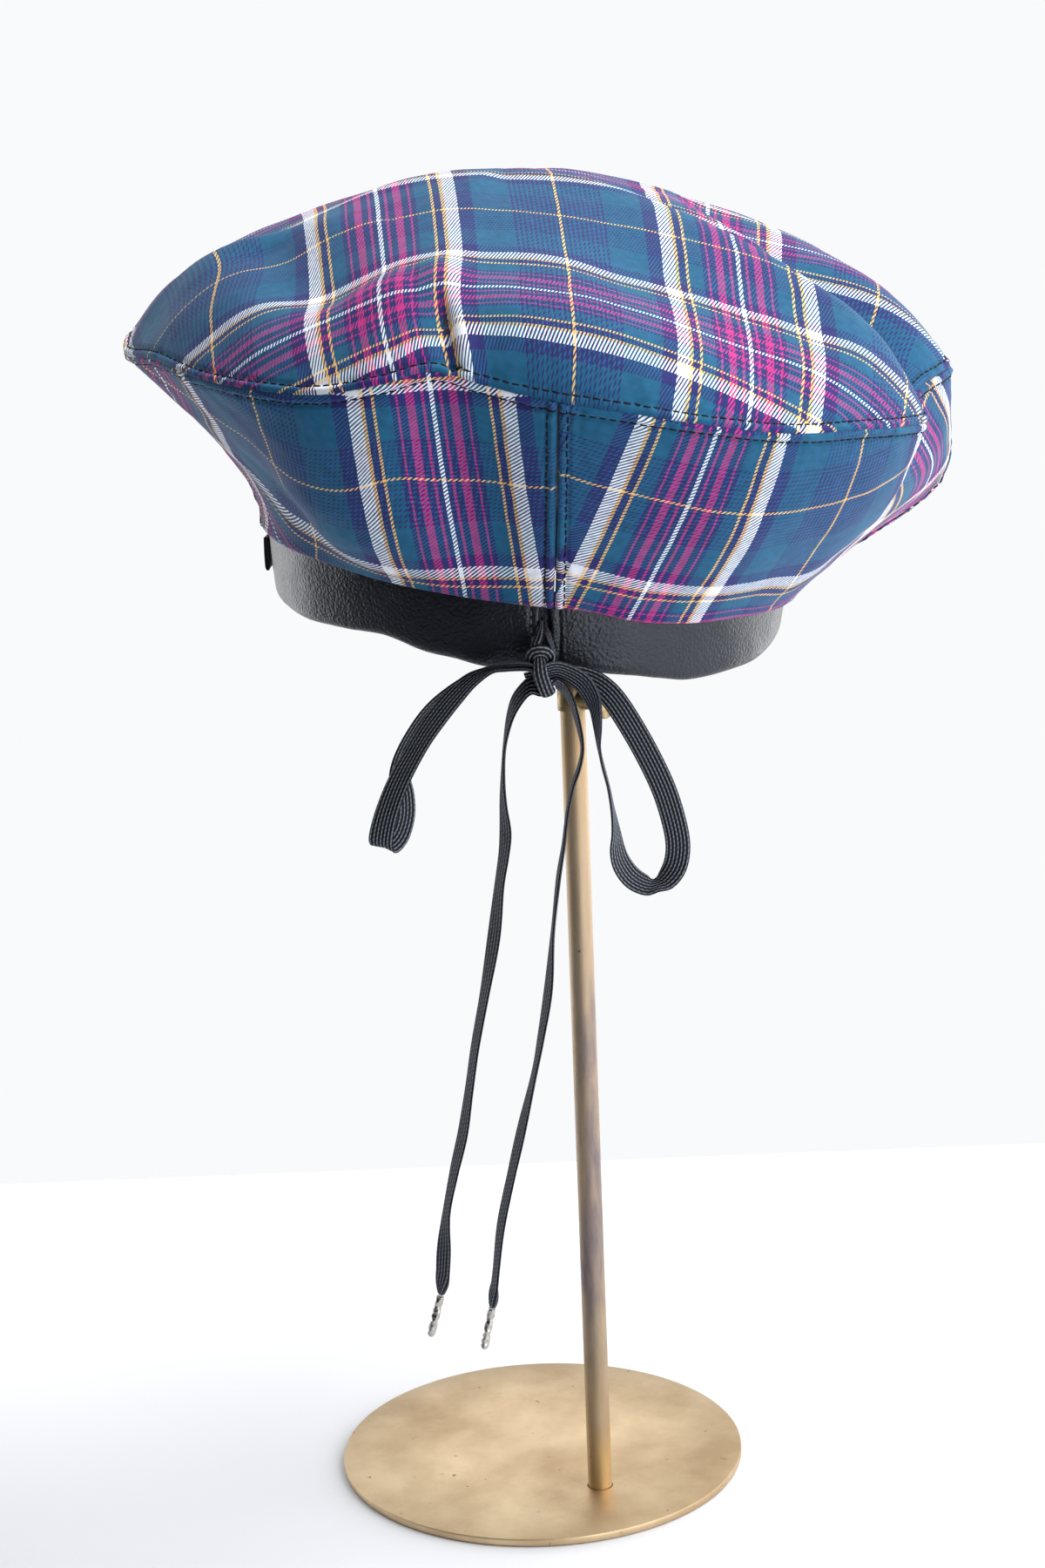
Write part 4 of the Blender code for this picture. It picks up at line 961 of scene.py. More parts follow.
def underside(turn, share):
    """The underside's outer face: share 0 is the seam at the rim, 1 the hem on the band."""
    turn, share = np.broadcast_arrays(np.asarray(turn, float), np.asarray(share, float))
    t = share[..., None]
    hem_radius = band_radius(turn, SECTION["hem_z"](turn)) + 2 * GAP + CLOTH
    rim = around(turn, SECTION["rim_r"](turn), SECTION["rim_z"](turn))
    hem = around(turn, hem_radius, SECTION["hem_z"](turn))
    belly = around(turn, SECTION["belly_r"](turn), SECTION["belly_z"](turn))
    pull = SECTION["pull"](turn)[..., None]
    upper = rim + (belly - rim) * pull
    lower = hem + (belly - hem) * pull
    return ((1 - t)**3 * rim + 3 * t * (1 - t)**2 * upper
            + 3 * t**2 * (1 - t) * lower + t**3 * hem)


def normals(grid, ring=False):
    """Unit normals of a grid of points, which point into the hat."""
    down = np.gradient(grid, axis=0)
    across = ((np.roll(grid, -1, axis=1) - np.roll(grid, 1, axis=1)) / 2 if ring
              else np.gradient(grid, axis=1))
    cross = np.cross(across, down)
    return cross / np.maximum(np.linalg.norm(cross, axis=-1, keepdims=True), 1e-9)


def inwards(points):
    """Level directions from points towards the hat's axis."""
    level = np.array([HAT_X, HAT_Y, 0.0]) - points
    level[..., 2] = 0.0
    return level / np.linalg.norm(level, axis=-1, keepdims=True)


def uneven(points, wave, seed):
    """Soft unevenness between about -1 and 1, with waves of about the given length in mm."""
    chance = np.random.default_rng(seed)
    total = 0.0
    for _ in range(9):
        way = chance.normal(size=3)
        way *= chance.uniform(0.7, 1.4) * 2 * math.pi / wave / np.linalg.norm(way)
        total = total + np.sin(points @ way + chance.uniform(0.0, 2 * math.pi))
    return np.tanh(total / 3.0)


print("the hem at the back is", round(float(underside(0.0, 1.0)[2]), 1), "mm up")

# %% [markdown]
# ## Laying the cloth flat
#
# The stripes are straight on the flat cloth and bend only because the cloth is bent. So the
# map of each piece is found the way a pattern cutter would: start from distances along the
# surface, then let every short line in the net pull to its real length until all agree.
# A coarse net settles fast, and its result is then read at every fine point.

# %% Flatten a net of cloth
def links(grid, ring):
    """Pairs of points in a net, by rows, by columns and by both diagonals."""
    rows, columns = grid.shape[:2]
    index = np.arange(rows * columns).reshape(rows, columns)
    pairs = [(index[:-1], index[1:])]
    if ring:
        index = np.concatenate([index, index[:, :1]], axis=1)
    pairs += [(index[:, :-1], index[:, 1:]), (index[:-1, :-1], index[1:, 1:]),
              (index[1:, :-1], index[:-1, 1:])]
    return np.concatenate([np.stack([a.ravel(), b.ravel()], -1) for a, b in pairs])


FLATTEN_ROUNDS, FLATTEN_HASTE = 1200, 1.5


def flattened(grid, flat, ring=False):
    """The net of points laid flat: each line pulled to its real length, a bit at a time."""
    pairs = links(grid, ring)
    points, flat = grid.reshape(-1, 3), flat.reshape(-1, 2).copy()
    real = np.linalg.norm(points[pairs[:, 0]] - points[pairs[:, 1]], axis=1)
    many = np.bincount(pairs.ravel(), minlength=len(points))[:, None]
    for _ in range(FLATTEN_ROUNDS):
        line = flat[pairs[:, 1]] - flat[pairs[:, 0]]
        long = np.maximum(np.linalg.norm(line, axis=1), 1e-6)
        pull = line * ((long - real) / long * 0.5)[:, None]
        move = np.stack([np.bincount(pairs[:, 0], pull[:, k], len(flat))
                         - np.bincount(pairs[:, 1], pull[:, k], len(flat))
                         for k in (0, 1)], -1)
        flat += FLATTEN_HASTE * move / many
    return flat.reshape(grid.shape[:2] + (2,))


def stretch_left(grid, flat):
    """How far the flat net's lines still are from their real lengths, as a share."""
    pairs = links(grid, False)
    points, flat = grid.reshape(-1, 3), flat.reshape(-1, 2)
    real = np.linalg.norm(points[pairs[:, 0]] - points[pairs[:, 1]], axis=1)
    now = np.linalg.norm(flat[pairs[:, 0]] - flat[pairs[:, 1]], axis=1)
    return float(np.mean(np.abs(now / np.maximum(real, 1e-6) - 1)))


def turned_flat(flat, degrees):
    """A flat map, turned."""
    c, s = math.cos(math.radians(degrees)), math.sin(math.radians(degrees))
    return flat @ np.array([[c, s], [-s, c]])


print("lines in a net of 4 by 4 points:", len(links(np.zeros((4, 4, 3)), False)))

# %% [markdown]
# ## The crown
#
# One round piece of twill with a dark lining. It is a closed skin: rings run from its middle
# out to the seam, round the cut edge and back under the cloth as the lining. Near the seam
# the cloth has small forms that sewing gives: a roll at the edge, a groove where the
# topstitching pulls it down, and puckers between the stitches. A bump map could shade them,
# but real ones catch the light at the outline too, so they are in the mesh.

# %% Sewn relief
STITCH_FROM_SEAM = 3.6
ROLL_FROM_SEAM, ROLL_WIDE, ROLL_HIGH = 1.7, 1.1, 0.5
GROOVE_WIDE, VALLEY_WIDE, VALLEY_DEEP = 0.75, 0.55, 0.75
PUCKER_WAVES, PUCKER_HIGH, PUCKER_REACH = (5.2, 6.7, 8.3, 11.0, 14.5), 0.13, 8.0


def bump_at(distance, place, wide):
    """A smooth bump, 1 at a place and fading over its width."""
    return np.exp(-((distance - place) / wide) ** 2)


def sewn(distance, along, seed, deep=0.55):
    """Relief of a sewn edge in mm: roll, stitch groove and puckers.

    distance is measured from the seam and along is the place on it, both in mm.
    """
    groove = -deep * bump_at(distance, STITCH_FROM_SEAM, GROOVE_WIDE)
    roll = ROLL_HIGH * bump_at(distance, ROLL_FROM_SEAM, ROLL_WIDE)
    valley = -VALLEY_DEEP * bump_at(distance, 0.0, VALLEY_WIDE)
    line = np.stack([along, 0.25 * distance], -1)
    chance = np.random.default_rng(seed)
    pucker = 0.0
    for wave in PUCKER_WAVES:
        way = np.array([2 * math.pi / wave, chance.uniform(-0.25, 0.25)])
        pucker = pucker + np.sin(line @ way + chance.uniform(0, 2 * math.pi))
    reach = np.exp(-distance / PUCKER_REACH) * np.clip(distance / 1.2, 0.0, 1.0)
    return groove + roll + valley + PUCKER_HIGH * pucker * reach


print("topstitching runs", STITCH_FROM_SEAM, "mm from the seam")

# %% [markdown]
# Left of the middle, a fold of the crown is pinched so tightly that it shows as a sharp
# crease with a lip beside it. It moves the cloth and its lining together, so that nothing of
# the lining comes through.

# %% The crown's rings, relief and crease
CROWN_COLUMNS = 448
CROWN_PATH = 157.0          # from the crown's middle to its seam, over the cloth
CROWN_EDGE, CROWN_NEAR, CROWN_STEP = 9.0, 0.45, 2.4
SEAM_RADIUS = 143.0
CREASE_X, CREASE_LEAN, CREASE_LONG, CREASE_FADE = -13.4, 0.12, 34.0, 14.0
CREASE_DEEP, CREASE_WIDE = 3.0, 1.7
LIP_BESIDE, LIP_HIGH, LIP_WIDE = 4.5, 1.2, 3.5


def crown_shares():
    """Rings of the crown from its middle outwards, closer together near the seam."""
    near = np.arange(0.0, CROWN_EDGE, CROWN_NEAR)
    far = np.linspace(CROWN_EDGE, CROWN_PATH - 1.5, int(CROWN_PATH / CROWN_STEP))
    return 1.0 - np.concatenate([near, far])[::-1] / CROWN_PATH


def from_last(grid):
    """The distance of each point of a grid from its last row, in mm."""
    path = gone(grid, 0)
    return path[-1] - path


def crown_relief(grid, turns):
    """The crown's small forms in mm, for a grid of its points."""
    edge = from_last(grid)
    along = np.radians(turns)[None, :] * SEAM_RADIUS + 0 * edge
    soft = 0.55 * uneven(grid, 48.0, 4) + 0.25 * uneven(grid, 21.0, 5)
    return sewn(edge, along, 11) + soft * np.clip(edge / 12.0, 0.0, 1.0)


def crown_crease(grid):
    """The sharp crease that runs up from the seam left of the back, in mm."""
    edge = from_last(grid)
    beside = grid[..., 0] - (CREASE_X - CREASE_LEAN * edge)
    fade = (np.clip((CREASE_LONG - edge) / CREASE_FADE, 0.0, 1.0)
            * np.clip(edge / 3.0, 0.0, 1.0))
    ridge = LIP_HIGH * bump_at(beside, LIP_BESIDE, LIP_WIDE)
    crease = CREASE_DEEP * bump_at(beside, 0.0, CREASE_WIDE)
    return (ridge - crease) * fade * (grid[..., 1] < 0)


print("rings in the crown:", len(crown_shares()))

# %% [markdown]
# The crown's flat pattern is a disc. The threads run across it from side to side and from
# back to front, turned very slightly when the disc was cut. The map is moved so that the
# middle of a repeat lies where the photograph shows it. Where cloth is pulled on the slant
# its threads slide, which no flat net shows, so a short table moves the stripes there.

# %% Where the stripes drift
DRIFT_COLUMNS = ("piece", "way", "across", "below", "move", "reach across", "reach below")
DRIFTS = (
    ("crown_cloth", 1, 26.0, -23.0, -5.0, 24.0, 13.0),
    ("crown_cloth", 1, 78.0, 0.0, 3.5, 28.0, 14.0),
    ("crown_cloth", 0, 25.0, -8.0, 2.2, 50.0, 18.0),
    ("crown_cloth", 0, -50.0, 66.0, -7.0, 20.0, 30.0),
    ("crown_cloth", 1, -75.0, 64.0, 13.0, 34.0, 26.0),
    ("underside_back_left", 1, -42.0, -26.0, -4.0, 40.0, 12.0),
    ("underside_back_left", 0, -120.0, -98.0, 14.0, 34.0, 28.0),
    ("underside_back_left", 1, -125.0, -82.0, 13.0, 26.0, 20.0),
    ("underside_back_left", 1, -75.0, -108.0, 9.0, 24.0, 18.0),
    ("underside_back_left", 1, -15.0, -52.0, -6.0, 14.0, 20.0),
    ("underside_back_right", 0, 132.0, -100.0, -18.0, 34.0, 30.0),
    ("underside_back_right", 1, 128.0, -88.0, 14.0, 26.0, 24.0),
    ("underside_back_right", 1, 68.0, -112.0, 9.0, 20.0, 20.0),
)


def drifted(name, flat):
    """The map with its stripes moved, in mm, where the cloth was pulled on the slant."""
    moved = flat.copy()
    for piece, way, across, below, move, wide, high in DRIFTS:
        if piece == name:
            moved[..., way] += move * np.exp(-((flat[..., 0] - across) / wide) ** 2
                                             - ((flat[..., 1] - below) / high) ** 2)
    return moved


print("places where stripes drift:", len(DRIFTS))

# %% Make the crown
def crown_map(turns, shares):
    """The crown's flat map in mm, counted from the middle of a pink bar both ways."""
    net_turns = np.arange(72) * 5.0
    net_shares = np.concatenate([[0.012, 0.05], np.linspace(0.1, 1.0, 25)])
    net = crown(net_turns[None, :], net_shares[:, None])
    start = (net[..., :2] - [CROWN_X, CROWN_Y]) * 1.08
    flat = flattened(net, start, ring=True)
    print("crown laid flat, lines are off by", round(100 * stretch_left(net, flat), 2), "%")
    rings = curve(shares, net_shares, flat)
    columns = np.concatenate([rings[:, -3:], rings, rings[:, :3]], axis=1).swapaxes(0, 1)
    places = np.concatenate([net_turns[-3:] - 360, net_turns, net_turns[:3] + 360])
    return curve(turns % 360.0, places, columns).swapaxes(0, 1)


CROWN_PATTERN_TURN, CROWN_PATTERN_SHIFT = -3.0, (46.0, 120.5)
turns = np.arange(CROWN_COLUMNS) * 360.0 / CROWN_COLUMNS
shares = crown_shares()
base = crown(turns[None, :], shares[:, None])
base = base - normals(base, True) * crown_crease(base)[..., None]
face = base - normals(base, True) * crown_relief(base, turns)[..., None]
face[-1, :, 2] += GAP / 2
under = base + normals(base, True) * CLOTH
under[-1] = face[-1] + inwards(face[-1]) * CLOTH
fewer = np.concatenate([[len(shares) - 1], np.arange(len(shares) - 3, 0, -3), [0]])
grid = np.concatenate([face, under[fewer]])
flat = turned_flat(crown_map(turns, shares), CROWN_PATTERN_TURN) + CROWN_PATTERN_SHIFT
flat = drifted("crown_cloth", flat)
flat = np.concatenate([flat, flat[fewer]])
flat = np.concatenate([flat, flat[:, :1]], axis=1)
crown_cloth = dress(capped_tube("crown_cloth", grid, flat, "cloth", [crown_twill, lining],
                                split=len(shares) - 1), "tartan_twill", "crown_panel")

# %% [markdown]
# ## The underside
#
# Four equal pieces, each a quarter of a flat ring, sewn edge to edge and to the crown. Their
# free lower edge is turned in over the leather band. One ring could stand for all four, but
# each quarter was cut from another place in the cloth, so each is its own closed wall.
# The stripes of a piece follow its own middle line, so they meet its neighbour's at a slant
# on the seam, which is what makes the back seam so easy to see.

# %% Underside pieces
PANEL_EDGE, PANEL_EDGE_STEPS, PANEL_STEPS = 9.0, 20, 96
PANEL_LONG = 225.0


def panel_places(length):
    """Shares from 0 to 1, closer together near both ends of a length in mm."""
    edge = np.linspace(0.0, PANEL_EDGE, PANEL_EDGE_STEPS + 1) / length
    middle = np.linspace(edge[-1], 1 - edge[-1], PANEL_STEPS + 1)[1:-1]
    return np.concatenate([edge, middle, 1 - edge[::-1]])


def panel_drops():
    """Shares down a panel, closer together near the rim and the hem."""
    return np.concatenate([np.linspace(0.0, 0.10, 21), np.linspace(0.12, 0.94, 40),
                           np.linspace(0.95, 1.0, 9)])


def panel_relief(grid, seed):
    """The small forms of an underside piece, in mm."""
    down, across = gone(grid, 0), gone(grid, 1)
    up, back = down[-1] - down, across[:, -1:] - across
    soft = (0.7 * uneven(grid * [1.0, 1.0, 0.55], 44.0, 20 + seed)
            + 0.22 * uneven(grid, 17.0, seed))
    calm = np.clip(np.minimum.reduce([down, across, back, up]) / 12.0, 0.0, 1.0)
    hem = 0.3 * bump_at(up, 2.2, 1.6) - 0.7 * bump_at(up, 0.0, 0.7)
    return (sewn(down, across, 40 + seed) + sewn(across, down, 60 + seed, 0.4)
            + sewn(back, down, 80 + seed, 0.4) + hem + soft * calm)


def panel_map(turns, drops, first):
    """A panel's flat map: its middle line upright, its rim at the top."""
    net_turns = first + np.linspace(0.0, 90.0, 25)
    net_drops = np.linspace(0.0, 1.0, 15)
    net = underside(net_turns[None, :], net_drops[:, None])
    angle = np.radians((net_turns - first - 45.0) * 0.55)
    reach = 240.0 - gone(net, 0)
    start = np.stack([reach * np.sin(angle), reach * np.cos(angle)], -1)
    flat = flattened(net, start)
    print("panel laid flat, lines are off by", round(100 * stretch_left(net, flat), 2), "%")
    flat = curve(turns, net_turns, curve(drops, net_drops, flat).swapaxes(0, 1)).swapaxes(0, 1)
    top = flat[0, len(turns) // 2]
    middle = flat[-1, len(turns) // 2] - top
    return turned_flat(flat - top, -90.0 - math.degrees(math.atan2(middle[1], middle[0])))


def under_piece(name, node, first, seed, turn, across, below):
    """Make one quarter. across and below place the stripes, in mm, and turn slants them."""
    turns = first + 90.0 * panel_places(PANEL_LONG)
    drops = panel_drops()
    grid = underside(turns[None, :], drops[:, None])
    face = grid - normals(grid) * panel_relief(grid, seed)[..., None]
    under = grid + normals(grid) * CLOTH
    for row in (0, -1):
        under[row] = face[row] + inwards(face[row]) * CLOTH
    for layer in (face, under):        # half a gap at the rim and at both upright seams
        layer[0, :, 2] -= GAP / 2
        for column, side in ((0, 1.0), (-1, -1.0)):
            angle = math.radians(turns[column])
            layer[:, column, 0] += side * math.cos(angle) * GAP / 2
            layer[:, column, 1] += side * math.sin(angle) * GAP / 2
    flat = drifted(name, turned_flat(panel_map(turns, drops, first), turn) + [across, below])
    piece = dress(wall(name, face, under, flat, "cloth", [under_twill, lining]),
                  "tartan_twill", node)
    return face


PANEL_COLUMNS = ("name", "node", "first turn", "seed", "pattern turn", "across", "below")
PANELS = (
    ("underside_back_left", "under_panel_back_left", SEAM_TURN - 90.0, 1, 20.5, -76.3, -32.0),
    ("underside_back_right", "under_panel_back_right", SEAM_TURN, 2, -12.5, 67.1, -35.1),
    ("underside_front_right", "under_panel_front_right", SEAM_TURN + 90.0, 3, 18.0, -70.0, -33.0),
    ("underside_front_left", "under_panel_front_left", SEAM_TURN + 180.0, 4, -15.0, 60.0, -33.0),
)
panel_faces = {row[0]: under_piece(*row) for row in PANELS}

# %% [markdown]
# ## Topstitching
#
# Black thread holds the seams open: a row on the crown and one on the underside beside the
# rim, and a row on each side of the upright seams. A dashed line in the material would do
# from afar, but not for the small shadows of thread on cloth. So each stitch is a short bent
# thread that comes out of the cloth and goes back in. All of a panel's stitches are one
# piece, and a stitch has only a few faces, because there are over a thousand of them.

# %% Rows of stitches
STITCH_LONG, STITCH_GAP, THREAD = 2.5, 0.6, 0.22
STITCH_SIDES = 6
RING_COLUMNS = ("share of the length", "lift in mm", "share of the thickness")
STITCH_RINGS = ((-0.5, -0.30, 0.5), (-0.40, 0.04, 1.0), (-0.14, 0.17, 1.1),
                (0.14, 0.17, 1.1), (0.40, 0.04, 1.0), (0.5, -0.30, 0.5))


def stitches(name, rows, material, long=STITCH_LONG, gap=STITCH_GAP, thread=THREAD,
             slot="black_felt"):
    """Bent stitches along rows. Each row is (points, the ways out of the cloth)."""
    points, faces, sides, rings = [], [], STITCH_SIDES, len(STITCH_RINGS)
    for line, out in rows:
        at = gone(line, 0)
        count = int(at[-1] / (long + gap))
        for k in range(count):
            middle = (k + 0.5) * at[-1] / count
            place, ahead, normal = (
                np.array([np.interp(middle + step, at, values[:, c]) for c in range(3)])
                for step, values in ((0.0, line), (0.5, line), (0.0, out)))
            along = ahead - place
            along /= np.linalg.norm(along)
            normal = normal - along * (normal @ along)
            normal /= np.linalg.norm(normal)
            side = np.cross(along, normal)
            first = len(points)
            for share, lift, wide in STITCH_RINGS:
                ring = place + along * share * long + normal * (lift + 0.05)
                for j in range(sides):
                    angle = 2 * math.pi * j / sides
                    points.append(ring + (side * math.cos(angle) * 1.15
                                          + normal * math.sin(angle)) * thread * wide)
            for i in range(rings - 1):
                for j in range(sides):
                    a, b = first + i * sides + j, first + i * sides + (j + 1) % sides
                    faces.append((a, b, b + sides, a + sides))
            faces.append(tuple(first + j for j in range(sides)))
            faces.append(tuple(first + (rings - 1) * sides + j for j in range(sides))[::-1])
    corners = np.zeros((sum(len(f) for f in faces), 2))
    dress(mesh_piece(name, points, faces, corners, "thread", [material]), slot)


def row_at(face, axis, distance, out, end=False, trim=0.0):
    """The line on a face at a distance from an edge, with its normals and shorter by trim."""
    if axis == 1:
        face, out = face.swapaxes(0, 1), out.swapaxes(0, 1)
    if end:
        face, out = face[::-1], out[::-1]
    path = gone(face, 0)
    line, ways = [], []
    for j in range(face.shape[1]):
        line.append([np.interp(distance, path[:, j], face[:, j, c]) for c in range(3)])
        ways.append([np.interp(distance, path[:, j], out[:, j, c]) for c in range(3)])
    line, ways = np.array(line), np.array(ways)
    at = gone(line, 0)
    keep = (at >= trim) & (at <= at[-1] - trim)
    return line[keep], ways[keep]


face_out = -normals(face, True)
closed_face = np.concatenate([face, face[:, :1]], axis=1)
closed_out = np.concatenate([face_out, face_out[:, :1]], axis=1)
stitches("crown_topstitching", [row_at(closed_face, 0, STITCH_FROM_SEAM, closed_out, end=True)],
         black_thread)
for name, face_grid in panel_faces.items():
    out = -normals(face_grid)
    rows = [row_at(face_grid, 0, STITCH_FROM_SEAM, out, trim=0.4),
            row_at(face_grid, 1, STITCH_FROM_SEAM, out, trim=2.0),
            row_at(face_grid, 1, STITCH_FROM_SEAM, out, end=True, trim=2.0)]
    stitches(name.replace("underside", "topstitching"), rows, black_thread)

# %% [markdown]
# ## The leather band
#
# A strip of soft leather folded in half along its lower edge, with the lace between its two
# layers. Its two ends meet at the back, where the outer layer leaves a narrow slot with its
# edges turned under and stitched in grey. It is swept round the head from a small profile:
# the outer face with a slight belly, the rounded fold at the foot, and the inner face. A
# Spin would sweep it too, but round a true circle and with both its layers alike, while here
# the outer layer gapes at the lace and the inner one closes behind it.

# %% Folded band
BAND_FOLD, BAND_BELLY = 5.0, 0.35               # height of the fold, swell of the face
FOLD_HIGH = 4.6
SLOT_TOP_HALF, SLOT_OPEN_HALF, SLOT_OPEN_AT, SLOT_OPEN_REACH = 0.9, 1.8, 15.0, 8.0
SLOT_GIVE, SLOT_SHUT = 5.0, -0.05
EDGE_ROUND, EDGE_TURNED = 1.3, 0.9              # the slot's turned edges
SEAT_FROM_SLOT, SEAT_WIDE, SEAT_DEEP = 3.4, 0.8, 0.28


def band_turns(columns):
    """Turns from one side of the slot round to the other, closer together at the slot."""
    half = math.degrees(SLOT_WIDTH / 2 / SECTION["top_r"](SLOT_TURN))
    share = np.linspace(0.0, 1.0, columns)
    share = share - 0.82 * np.sin(2 * math.pi * share) / (2 * math.pi)
    return SLOT_TURN + half + (360.0 - 2 * half) * share


def band_line(turns, depth, height):
    """A line round the band, depth in from its outer face and height above its edge."""
    low = SECTION["band_z"](turns)
    return around(turns, band_radius(turns, low + height) - depth, low + height)


def band_profile(inset):
    """The band's folded profile, or the same moved inwards, as (depth, height) rows."""
    middle = LEATHER + CASING / 2
    half = middle - inset
    sides = np.linspace(BAND_HEIGHT, BAND_FOLD, 15)
    belly = BAND_BELLY * np.sin((sides - BAND_FOLD) / (BAND_HEIGHT - BAND_FOLD) * math.pi)
    fold = np.linspace(0.0, math.pi, 17)[1:-1]
    rows = [(middle - half - b * (inset == 0), h) for b, h in zip(belly, sides)]
    rows += [(middle - half * math.cos(a),
              FOLD_HIGH - (FOLD_HIGH - inset) * math.sin(a) ** 0.8) for a in fold]
    return rows + [(middle + half, h) for h in sides[::-1]]


def opened(turns, depth, height):
    """Turns shifted so that the slot gapes at the lace and its inner layer is closed."""
    half = SLOT_TOP_HALF + (SLOT_OPEN_HALF - SLOT_TOP_HALF) * math.exp(
        -((height - SLOT_OPEN_AT) / SLOT_OPEN_REACH) ** 2)
    half = SLOT_SHUT + (half - SLOT_SHUT) * min(max((2.7 - depth) / 1.4, 0.0), 1.0)
    radius = SECTION["top_r"](SLOT_TURN)
    moved = 0 * turns
    for side, edge in ((1, turns[0]), (-1, turns[-1])):
        away = np.abs(turns - edge) * math.pi / 180 * radius
        moved = moved + side * (half - SLOT_WIDTH / 2) * np.exp(-away / SLOT_GIVE)
    return turns + np.degrees(moved / radius)


turns = band_turns(520)
outer = np.stack([band_line(opened(turns, d, h), d, h) for d, h in band_profile(0.0)])
inner = np.stack([band_line(opened(turns, d, h), d, h) for d, h in band_profile(LEATHER)])
from_slot = gone(outer[:1], 1)
from_slot = np.minimum(from_slot, from_slot[:, -1:] - from_slot)
near_edge = (1 - from_slot / EDGE_ROUND).clip(0, 1)
turned_in = EDGE_TURNED * (1 - np.sqrt(1 - near_edge**2))
seat = -SEAT_DEEP * bump_at(from_slot, SEAT_FROM_SLOT, SEAT_WIDE)
waves = (0.35 * uneven(outer * [1, 1, 0.6], 34.0, 7) + 0.07 * uneven(outer, 13.0, 8)
         + 0.03 * uneven(outer, 6.0, 9)) * np.clip(from_slot / 6.0, 0.2, 1.0)
out = -normals(outer)
outer = outer + out * (waves + seat - turned_in)[..., None]
flat = np.stack([gone(outer, 1), gone(outer, 0)], -1)
dress(wall("folded_leather_band", outer, inner, flat, "hide", [leather, leather]),
      "black_leather", "leather_band")

rows = []
for stop, place, side in ((8, 2.4, turns < SLOT_TURN + 180), (14, 3.1, turns > SLOT_TURN + 180)):
    column = np.argmin(np.where(side, np.abs(from_slot[0] - place), np.inf))
    rows.append((outer[:stop, column], out[:stop, column]))
stitches("band_stitching", rows, grey_thread, long=1.9, gap=0.8, thread=0.24,
         slot="black_leather")

# %% [markdown]
# The lace goes once round the head inside the band. Only a glimpse of it shows through the
# slot and from above, so it is swept with longer steps than the free lace.

# %% Lace inside the band
LACE_END_TURN, LACE_IN_BAND_HEIGHT = 1.6, 14.5
turns = band_turns(72)
turns[0] += LACE_END_TURN
turns[-1] -= LACE_END_TURN
middle = band_line(turns, LEATHER + CASING / 2, LACE_IN_BAND_HEIGHT)
lace_piece("lace_in_band", "draw_lace", [(*point, 0.0, 0.0, 1.0) for point in middle],
           spacing=3.0)

# %% [markdown]
# ## The side tab
#
# A bare loop of black wool felt is caught in the hem on the left side: a strip folded at its
# lower end, so the helper that sweeps the lace makes it too. Felt has no weave. It is a mat
# of fine fibres, so it looks dull and a bit fuzzy, with soft worn corners.

# %% Felt tab
def wool_felt():
    """Black wool felt, a mat of fibres with soft hollows a millimetre or two wide."""
    made, tree, shader = new_material("black_wool_felt", Roughness=0.95, Sheen_Weight=0.3,
                                      Sheen_Roughness=0.6)
    place = add(tree, "TexCoord").outputs["Object"]
    mat = add(tree, "TexNoise", {"Vector": place, "Scale": 1.1 / MM, "Detail": 6.0})
    tint = add(tree, "Mix", {0: mat, 6: linear("#050506"), 7: linear("#1b1b1e")},
               data_type="RGBA").outputs[2]
    tree.links.new(tint, shader.inputs["Base Color"])
    bump = add(tree, "Bump", {"Strength": 0.9, "Distance": 0.0005, "Height": mat})
    tree.links.new(bump.outputs[0], shader.inputs["Normal"])
    return made


TAB_TURN, TAB_TOP, TAB_LOW, TAB_WIDTH = -90.5, 368.6, 357.2, 18.5
TAB_HIGH, TAB_MIDDLE, TAB_FOLD = 365.0, 361.5, 358.4
TAB_NEAR, TAB_FAR = 0.55, 1.75                  # its two layers, out from the band
felt = wool_felt()
on_band = float(band_radius(TAB_TURN, 362.0)) + GAP
near, far = on_band + TAB_NEAR, on_band + TAB_FAR
across = around(TAB_TURN + 90.0, 1.0, 0.0) - around(TAB_TURN + 90.0, 0.0, 0.0)
profile = ((far, TAB_TOP), (far + 0.1, TAB_HIGH), (far + 0.1, TAB_MIDDLE), (far, TAB_FOLD),
           ((near + far) / 2, TAB_LOW), (near, TAB_FOLD), (near, TAB_MIDDLE),
           (near, TAB_HIGH), (near, TAB_TOP))
route = [(*around(TAB_TURN, radius, height), *across) for radius, height in profile]
dress(strip("felt_tab", route, felt, spacing=0.6, width=TAB_WIDTH, ribs=0.0, crown=-0.4),
      "black_felt", "side_tag")

# %% [markdown]
# ## The stand
#
# A round brass foot, a thin pole, a clamp with a thumb screw and a thinner rod that slides
# in the pole and ends in a wide cap under the crown. These are turned parts. A profile could
# be spun, but a disc whose face is extruded and resized again and again along the axis keeps
# its ends closed and its faces outward, so each is raised that way. The brass is antiqued:
# stained brown and then rubbed, so it is mottled, with gold on the worn parts and clouded by
# wax.

# %% Antiqued brass
BASE_RADIUS, BASE_THICK = 78.0, 2.8
STAIN_TOP = 320.0
STAIN_COLUMNS = ("height in mm", "colour")
POLE_STAINS = (
    (0.0, "#eac680"), (30.0, "#a98e66"), (60.0, "#877a6c"), (90.0, "#706975"),
    (180.0, "#726a76"), (250.0, "#bfa78c"), (285.0, "#b89c76"), (312.0, "#8c7450"),
)


